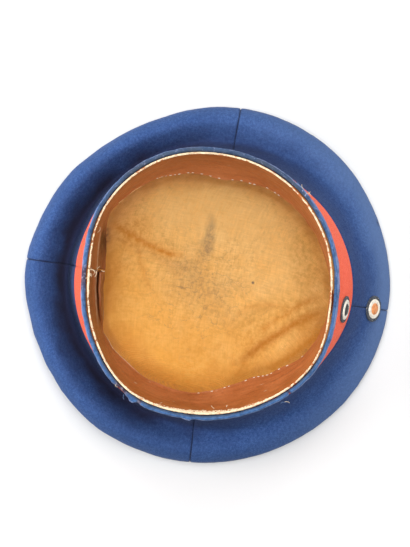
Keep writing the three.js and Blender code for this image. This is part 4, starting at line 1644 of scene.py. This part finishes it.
def leather_faces(sizes):
    """Both faces of the sweatband as grids, the hidden one first, with its angles and shares of depth."""
    half_gap = JOIN_GAP / 2 / sizes.rim_radius
    sweep = TURN - 2 * half_gap
    turns = math.radians(JOIN_AT) + half_gap + sweep * fine_ended(sizes.rim_radius * sweep, LEATHER_STEPS[0])
    share = fine_ended(LEATHER_LENGTH, LEATHER_STEPS[1])
    angle = turns[:, None]
    out, up = leather_line(sizes, angle, share[None, :])
    spots = place(sizes, angle, out, up)
    free = np.clip(share * 1.3 - 0.15, 0, 1)[None, :]
    uneven = 0.55 * MM * ripple(spots, 46 * MM, 41) * free
    uneven += 0.24 * MM * ripple(spots * [1, 1, 3], 15 * MM, 43) * free
    uneven += 0.05 * MM * ripple(spots, 3.5 * MM, 45)
    wave = 0.6 * MM * ripple(spots, 17 * MM, 47)[:, -1:] * share[None, :] ** 3
    ragged = 0.26 * MM * ripple(spots, 2.4 * MM, 49)[:, :1] * np.clip(1 - share * 14, 0, 1)[None, :]
    line = np.stack([out + uneven + wave, up + ragged - 0.5 * wave], axis=-1)
    from_edge = np.minimum(share, 1 - share)[None, :] * LEATHER_LENGTH
    from_end = np.minimum(turns - turns[0], turns[-1] - turns)[:, None] * sizes.rim_radius
    thick = rounding(np.minimum(from_edge, from_end), sizes.leather * 0.35) * sizes.leather / 2
    thick = thick[..., None] * line_normals(line)
    faces = [place(sizes, angle, side[..., 0], side[..., 1]) for side in (line + thick, line - thick)]
    return faces, turns, share


def sweatband(sizes, material):
    """The leather sweatband, an open strip with a raw upper edge, bent over a ridge beside its join."""
    faces, turns, share = leather_faces(sizes)
    past = np.degrees(np.mod(turns, TURN)) - JOIN_AT
    end = np.minimum(np.abs(past), 360 - np.abs(past))
    folded = smooth(past, 0, 1) * (1 - smooth(past, *POCKET_FADES)) * (past > 0)
    ridged = smooth(past, 2 - RIDGE_SWEEP, 12 - RIDGE_SWEEP) * (past <= 0)
    # Painted shade under the ridge beside the join
    tucked = 0.35 * ridged + near(turns, "tucked")
    # Where a painted highlight runs along the free edge
    edge = near(turns, "rubbed_edge")
    masks = {
        "down": share[None, :] * LEATHER_LENGTH,
        "frayed": (near(turns, "frayed") + near(turns, "frayed_end"))[:, None],
        "raw": (bell(end, 0.8) * (past > 0))[:, None] * (1 - smooth(share, 0.35, 0.5))[None, :],
        # Painted shade in the fold past the join and under the ridge before it
        "pocket": np.maximum(folded[:, None] * bell(share - 0.60, 0.14)[None, :],
                             tucked[:, None] * smooth(share, 0.46, 0.56)[None, :]),
        # A painted highlight on the ridge, on the fold and along the free edge
        "crest": np.maximum(np.maximum(folded, ridged)[:, None] * bell(share - 0.43, 0.03)[None, :],
                            edge[:, None] * bell(share - 0.975, 0.04)[None, :]),
        # Painted shade at the back
        "dim": near(turns, "dim")[:, None],
        "pale": near(turns, "pale")[:, None] * smooth(share, 0.1, 0.35)[None, :],
    }
    across = turns * sizes.rim_radius
    return wall("leather_sweatband", *faces, across, share * LEATHER_LENGTH, material, masks=masks)


def sewn_rows(name, rows, pitch, size, material):
    """Rows of stitches as one piece: each row is a path, the share of it that is kept, and a seed."""
    meshes = []
    for number, (path, kept, seed) in enumerate(rows):
        inputs = {"Pitch": pitch, "Size": size, "Kept": kept, "Seed": seed, "Material": material}
        meshes.append(grown(f"{name}_{number}", "stitches", inputs, [path]))
    return settle(name, joined(name, meshes))


def stitches(sizes, material):
    """The stitches that show along the sweatband's free edge."""
    faces, turns, share = leather_faces(sizes)
    row = int(np.argmin(np.abs(share - STITCH_SHARE)))
    degrees = np.degrees(np.mod(turns, TURN))
    rows = []
    for number, sewn in enumerate(STITCH_ROWS):
        path = faces[1][(degrees > sewn["start"]) & (degrees < sewn["end"]), row]
        rows.append((path, 1 - sewn["missing"], number + 3))
    return sewn_rows("sweatband_stitches", rows, sizes.stitch_pitch, STITCH_SIZE, material)


def edge_fuzz(sizes, material):
    """Loose fibres along the sweatband's raw edge, with a second row of them where it is frayed."""
    faces, turns, _ = leather_faces(sizes)
    top = (faces[0][:, 0] + faces[1][:, 0]) / 2
    frayed = np.abs(np.degrees(np.mod(turns, TURN)) - FRAYED_AT) < FRAYED_SWEEP
    rows = [(top + [0, 0, 0.15 * MM], 0.4, 21), (faces[1][frayed, 5], 0.6, 22)]
    return sewn_rows("sweatband_fuzz", rows, FUZZ_PITCH, FUZZ_SIZE, material)


def cotton_roll(sizes, material):
    """A narrow roll of the lining's cotton that shows along a stretch of the sweatband's free edge."""
    faces, turns, _ = leather_faces(sizes)
    degrees = np.degrees(np.mod(turns, TURN))
    edge = (faces[0][:, -1] + faces[1][:, -1]) / 2
    path = edge[(degrees > ROLL_FROM) & (degrees < ROLL_TO)] + [0, 0, ROLL_RISE]
    mesh = grown("cotton_roll", "threads", {"Thickness": ROLL_WIDTH, "Material": material}, [path])
    return settle("cotton_roll", mesh)


# Lining


def crease_marks(sizes, spots):
    """Height that the lining's creases add at points, and how much each point lies in their shade."""
    rise, shaded = np.zeros(spots.shape[:-1]), np.zeros(spots.shape[:-1])
    for crease in CREASES:
        out = [crease[f"{tip}_out"] * sizes.seam_radius for tip in ("start", "end")]
        start = place(sizes, math.radians(crease["start_at"]), out[0], 0)[:2]
        end = place(sizes, math.radians(crease["end_at"]), out[1], 0)[:2]
        way = end - start
        off = spots[..., :2] - start
        length = math.hypot(*way)
        along = off @ way / length ** 2
        share = np.clip(along, 0, 1)
        bow = crease["bow"] * MM * 4 * share * (1 - share)
        sideways = (off[..., 0] * way[1] - off[..., 1] * way[0]) / length - bow
        away = np.hypot(sideways, (along - share) * length) / (crease["width"] * MM)
        rise = np.maximum(rise, crease["rise"] * MM * bell(away, 1))
        offset = sideways / (crease["width"] * MM) - crease["side"]
        toned = crease["shade"] * (0.62 * bell(offset, 0.85) + 0.3 * bell(offset, 0.3))
        shaded = np.maximum(shaded, toned * smooth(along, -0.05, 0.12) * (1 - smooth(along, 0.8, 1.05)))
    return rise, shaded


def lining_bag(sizes, material):
    """The cotton lining, a creased bag that lies on the crown's top."""
    angle = full_turn(LINING_SIDES)
    floor = sizes.cloth + SEAM_GAP + sizes.cotton / 2
    inside = np.minimum(wall_radius(sizes, angle, LINING_TOP), wall_radius(sizes, angle, CROWN_HEIGHT))
    radius = inside - sizes.cloth - SEAM_GAP - sizes.cotton / 2
    section = curve_through(columns(LINING_SECTION, "out", "up"), 260)
    section[:, 1] = np.maximum(section[:, 1], 0)
    size = np.array([sizes.seam_radius, LINING_TOP - floor])
    share, length = spaced(section * size, np.linspace(0, 1, LINING_ROWS))
    share = share / size
    out = radius[:, None] * share[None, :, 0]
    up = floor + (LINING_TOP - floor) * share[None, :, 1] + 0 * out
    spots = place(sizes, angle[:, None], out, up)
    depth = np.clip((LINING_TOP - up) / (LINING_TOP - floor), 0, 1)
    rise, shaded = crease_marks(sizes, spots)
    rise = rise + 0.4 * MM * (ripple(spots, 26 * MM, 51) + 1.4) + 0.13 * MM * (ripple(spots, 8 * MM, 53) + 1)
    free = (sizes.rim_radius * rim_share(angle) * leather_share(angle))[:, None]
    # How strongly the rim is darkened: sweat stains on two sides, and painted shade all round beside the
    # sweatband
    strong = (0.42 + near(angle, "sweat_side") + near(angle, "sweat_front"))[:, None]
    reach = 0.9 + 0.35 * ripple(spots, 45 * MM, 57) + 0.14 * ripple(spots, 14 * MM, 59)
    tide = strong * SWEAT_WIDTH * reach
    sweat_and_shade = strong * (1 - smooth(free - out, 0, np.maximum(tide, 4 * MM)))
    # Painted shade where the cotton meets the sweatband's free edge
    edge = (1 - smooth(free - out, 0.4 * MM, 3.8 * MM)) * smooth(ripple(spots, 20 * MM, 61), -1.6, 0.6)
    warm = smooth(out * np.cos(angle - math.radians(SWEAT_AT))[:, None], -20 * MM, 75 * MM)
    line = np.stack([out, up + rise * depth], axis=-1)
    normal = line_normals(line)
    normal[:, -1] = [0, -1]
    faces = []
    for side in (line + sizes.cotton / 2 * normal, line - sizes.cotton / 2 * normal):
        side[:, -1] = [0, side[:, -1, 1].mean()]
        faces.append(place(sizes, angle[:, None], side[..., 0], side[..., 1]))
    ring = np.append(angle, TURN) * sizes.seam_radius * ROUND_MAP
    masks = {"crease": shaded, "sweat_and_shade": sweat_and_shade, "warm": warm, "edge": edge}
    down = np.linspace(0, length, LINING_ROWS)
    return wall("cotton_lining", *faces, ring, down, material, is_ring=True, has_pole=True, masks=masks)


# Cockades


def cockade(sizes, name, seat, boss, paints):
    """A stamped disc on its seat, with a milled ring, a smooth ring, a boss and its post."""
    mesh = turned_mesh(name, [(out * MM, up * MM) for out, up in COCKADE_PROFILE], DISC_SIDES)
    for material in (paints["milled"], paints["smooth"], boss):
        mesh.materials.append(material)
    for face in mesh.polygons:
        far = math.hypot(face.center.x, face.center.y)
        if far > MILLED_INNER or face.center.z <= 0:
            face.material_index = 0
        else:
            face.material_index = 1 if far > SMOOTH_INNER else 2
    ribs = grown(f"{name}_ribs", "ring_of_ribs", {
        "Count": sizes.cockade_ribs,
        "Radius": (COCKADE_RADIUS + MILLED_INNER) / 2 - 0.12 * MM,
        "Height": RIB_HEIGHT,
        "Size": RIB_SIZE,
        "Kept": 1.0,
        "Seed": 5,
        "Material": paints["milled"],
    })
    beads = grown(f"{name}_beads", "ring_of_ribs", {
        "Count": BEAD_COUNT,
        "Radius": BEAD_RING,
        "Height": BEAD_HEIGHT,
        "Size": BEAD_SIZE,
        "Kept": 1.0,
        "Seed": 9,
        "Material": paints["beads"],
    })
    whole = joined(name, [mesh, ribs, beads])
    facing = Vector(seat["facing"])
    turn = Vector((0, 0, 1)).rotation_difference(facing).to_matrix().to_4x4()
    whole.transform(Matrix.Translation(Vector(seat["point"]) + facing * SEAM_GAP) @ turn)
    return settle(name, whole)


# Loose threads


def thread_line(sizes, row, dice):
    """Points along a loose end of thread, from where it comes out."""
    start = place(sizes, math.radians(row["at"]), row["out"] * MM, row["up"] * MM)
    outward = math.radians(row["at"]) - math.pi / 2
    heading = outward + math.radians(row["turn"])
    bend = dice.uniform(-0.16, 0.16)
    points = [start]
    for step in range(1, THREAD_STEPS):
        heading += bend + dice.uniform(-0.12, 0.12)
        rise = THREAD_RISE * math.cos(step / THREAD_STEPS * math.pi * 1.1)
        way = np.array([math.cos(heading), math.sin(heading), rise])
        points.append(points[-1] + row["long"] * MM / THREAD_STEPS * way)
    return points


def loose_threads(sizes, name, tone, material, thickness=THREAD_WIDTH):
    """Every loose end of one tone."""
    dice = np.random.default_rng(71)
    lines = [thread_line(sizes, row, dice) for row in THREADS if row["tone"] == tone]
    mesh = grown(name, "threads", {"Thickness": thickness, "Material": material}, lines)
    return settle(name, mesh)


# Stage


def view_ways():
    """The picture's right and up, as ways on the floor."""
    right = np.array([math.sin(PHOTO_TURN), -math.cos(PHOTO_TURN)])
    return right, np.array([-right[1], right[0]])


def make_camera(sizes):
    """The camera, straight above the cap and a little off its middle."""
    right, up = view_ways()
    centre = np.array(outline_centre(sizes))
    below = centre - CROWN_IN_VIEW[0] * right - CROWN_IN_VIEW[1] * up
    data = bpy.data.cameras.new("camera")
    data.sensor_width = 36
    data.lens = CAMERA_LENS
    camera = bpy.data.objects.new("camera", data)
    camera.location = (below[0], below[1], CAMERA_HEIGHT)
    camera.rotation_euler = (0, 0, math.atan2(right[1], right[0]))
    bpy.context.scene.collection.objects.link(camera)
    bpy.context.scene.camera = camera


def make_lights():
    """Large soft lights and an even sky."""
    right, up = view_ways()
    for row in LIGHTS:
        data = bpy.data.lights.new(row["name"], "AREA")
        data.shape = "SQUARE"
        data.size = row["size"]
        data.energy = row["power"]
        lamp = bpy.data.objects.new(row["name"], data)
        x, y = right * row["right"] + up * row["up"]
        lamp.location = (x, y, row["high"])
        lamp.rotation_euler = (math.atan2(math.hypot(x, y), row["high"]), 0, math.atan2(x, -y))
        bpy.context.scene.collection.objects.link(lamp)
    world = bpy.data.worlds.new("sky")
    world.use_nodes = True
    world.node_tree.nodes["Background"].inputs["Color"].default_value = (1, 1, 1, 1)
    world.node_tree.nodes["Background"].inputs["Strength"].default_value = SKY
    bpy.context.scene.world = world


def make_floor():
    """A plain pale floor."""
    corners = [(x * FLOOR_HALF, y * FLOOR_HALF, 0) for x, y in ((-1, -1), (1, -1), (1, 1), (-1, 1))]
    mesh = bpy.data.meshes.new("floor")
    mesh.from_pydata(corners, [], [(0, 1, 2, 3)])
    material, tree, shader = new_material("floor_paper", FLOOR_GREY)
    fill_all(tree, shader, {"Base Color": FLOOR_GREY, "Roughness": 0.9, "Specular IOR Level": 0.0})
    floor = settle("floor", mesh, material)


# Operators


class CAP_OT_stage(bpy.types.Operator):
    """Make the floor, the lights and the camera"""

    bl_idname = "cap.stage"
    bl_label = "Stage"

    def execute(self, context):
        make_camera(context.scene.cap_sizes)
        make_lights()
        make_floor()
        context.scene.view_settings.view_transform = "Standard"
        return {"FINISHED"}


class CAP_OT_crown(bpy.types.Operator):
    """Make the crown's four quarters and its flat top"""

    bl_idname = "cap.crown"
    bl_label = "Crown"

    def execute(self, context):
        sizes, colours = context.scene.cap_sizes, context.scene.cap_colours
        cloth = crown_cloth(colours)
        for quarter in QUARTERS:
            seat(crown_quarter(sizes, cloth, quarter), "crown_cloth", f"crown_{quarter['side']}")
        plain = wool("crown_top_cloth", colours.crown, colours.crown_raised, colours.crown_rubbed, 0.5)
        seat(crown_top(sizes, plain), "crown_cloth", "crown_top")
        return {"FINISHED"}


class CAP_OT_band(bpy.types.Operator):
    """Make the red band"""

    bl_idname = "cap.band"
    bl_label = "Band"

    def execute(self, context):
        sizes, colours = context.scene.cap_sizes, context.scene.cap_colours
        seat(red_band(sizes, band_cloth(colours)), "band_cloth", "band")
        return {"FINISHED"}


class CAP_OT_edging(bpy.types.Operator):
    """Make the folded edging round the mouth"""

    bl_idname = "cap.edging"
    bl_label = "Edging"

    def execute(self, context):
        sizes, colours = context.scene.cap_sizes, context.scene.cap_colours
        seat(edging_ring(sizes, edging_cloth(colours)), "edging_cloth", "rim_edging")
        return {"FINISHED"}


class CAP_OT_sweatband(bpy.types.Operator):
    """Make the leather sweatband and its stitches"""

    bl_idname = "cap.sweatband"
    bl_label = "Sweatband"

    def execute(self, context):
        sizes, colours = context.scene.cap_sizes, context.scene.cap_colours
        seat(sweatband(sizes, sweat_leather(colours)), "sweatband_leather", "sweatband")
        seat(stitches(sizes, thread_fibre("white_thread", colours.white_thread)), "lining_cotton")
        seat(edge_fuzz(sizes, thread_fibre("raw_fibre", colours.raw_edge)), "sweatband_leather")
        seat(cotton_roll(sizes, thread_fibre("rolled_cotton", colours.cotton_pale)), "lining_cotton")
        return {"FINISHED"}


class CAP_OT_lining(bpy.types.Operator):
    """Make the cotton lining"""

    bl_idname = "cap.lining"
    bl_label = "Lining"

    def execute(self, context):
        sizes, colours = context.scene.cap_sizes, context.scene.cap_colours
        lining = seat(lining_bag(sizes, lining_cotton(sizes, colours)), "lining_cotton", "lining")
        return {"FINISHED"}


class CAP_OT_cockades(bpy.types.Operator):
    """Make the two cockades at the front"""

    bl_idname = "cap.cockades"
    bl_label = "Cockades"

    def execute(self, context):
        sizes, colours = context.scene.cap_sizes, context.scene.cap_colours
        metal = colours.bare_metal
        paints = {
            "milled": worn_paint("milled_ring_paint", colours.enamel_dark, metal, 0.16),
            "smooth": worn_paint("smooth_ring_paint", colours.enamel_white, shade(metal, 0.6), 0.05, 0.3),
            "beads": worn_paint("bead_paint", shade(colours.enamel_orange, 0.45), metal, 0.1),
        }
        orange = worn_paint("orange_boss_paint", colours.enamel_orange, metal, 0.06)
        upper = cockade(sizes, "upper_disc", crown_seat(sizes), orange, paints)
        seat(upper, "cockade_metal", "cockade_upper")
        paints["beads"] = worn_paint("dark_bead_paint", shade(colours.enamel_black, 2), metal, 0.14)
        black = worn_paint("black_boss_paint", colours.enamel_black, metal, 0.08)
        lower = cockade(sizes, "lower_disc", band_seat(sizes), black, paints)
        seat(lower, "cockade_metal", "cockade_lower")
        return {"FINISHED"}


class CAP_OT_threads(bpy.types.Operator):
    """Make the loose ends of thread"""

    bl_idname = "cap.threads"
    bl_label = "Threads"

    def execute(self, context):
        sizes, colours = context.scene.cap_sizes, context.scene.cap_colours
        pale = thread_fibre("pale_fibre", colours.raw_edge)
        blue = thread_fibre("blue_fibre", colours.edging_raised)
        seat(loose_threads(sizes, "pale_threads", "cotton", pale), "lining_cotton")
        seat(loose_threads(sizes, "blue_threads", "blue", blue), "edging_cloth")
        seat(loose_threads(sizes, "raw_ends", "raw", pale, RAW_END_WIDTH), "sweatband_leather")
        return {"FINISHED"}


class CAP_PT_panel(bpy.types.Panel):
    """The cap's pieces, sizes and colours"""

    bl_idname = "CAP_PT_panel"
    bl_label = "Cap"
    bl_space_type = "VIEW_3D"
    bl_region_type = "UI"
    bl_category = "Cap"

    def draw(self, context):
        column = self.layout.column()
        for operator in OPERATORS:
            column.operator(operator.bl_idname)
        for group in (context.scene.cap_sizes, context.scene.cap_colours):
            for name in group.__annotations__:
                column.prop(group, name)


OPERATORS = [
    CAP_OT_stage,
    CAP_OT_crown,
    CAP_OT_band,
    CAP_OT_edging,
    CAP_OT_sweatband,
    CAP_OT_lining,
    CAP_OT_cockades,
    CAP_OT_threads,
]
CLASSES = [CapSizes, CapColours, *OPERATORS, CAP_PT_panel]


def register():
    """Adds the sizes, the colours, the operators and the panel."""
    for cls in CLASSES:
        bpy.utils.register_class(cls)
    bpy.types.Scene.cap_sizes = PointerProperty(type=CapSizes)
    bpy.types.Scene.cap_colours = PointerProperty(type=CapColours)


def unregister():
    """Takes them away again."""
    del bpy.types.Scene.cap_colours
    del bpy.types.Scene.cap_sizes
    for cls in reversed(CLASSES):
        bpy.utils.unregister_class(cls)


def main():
    """Makes the stage and every piece."""
    register()
    for operator in OPERATORS:
        group, name = operator.bl_idname.split(".")
        getattr(getattr(bpy.ops, group), name)()


if __name__ == "__main__":
    main()
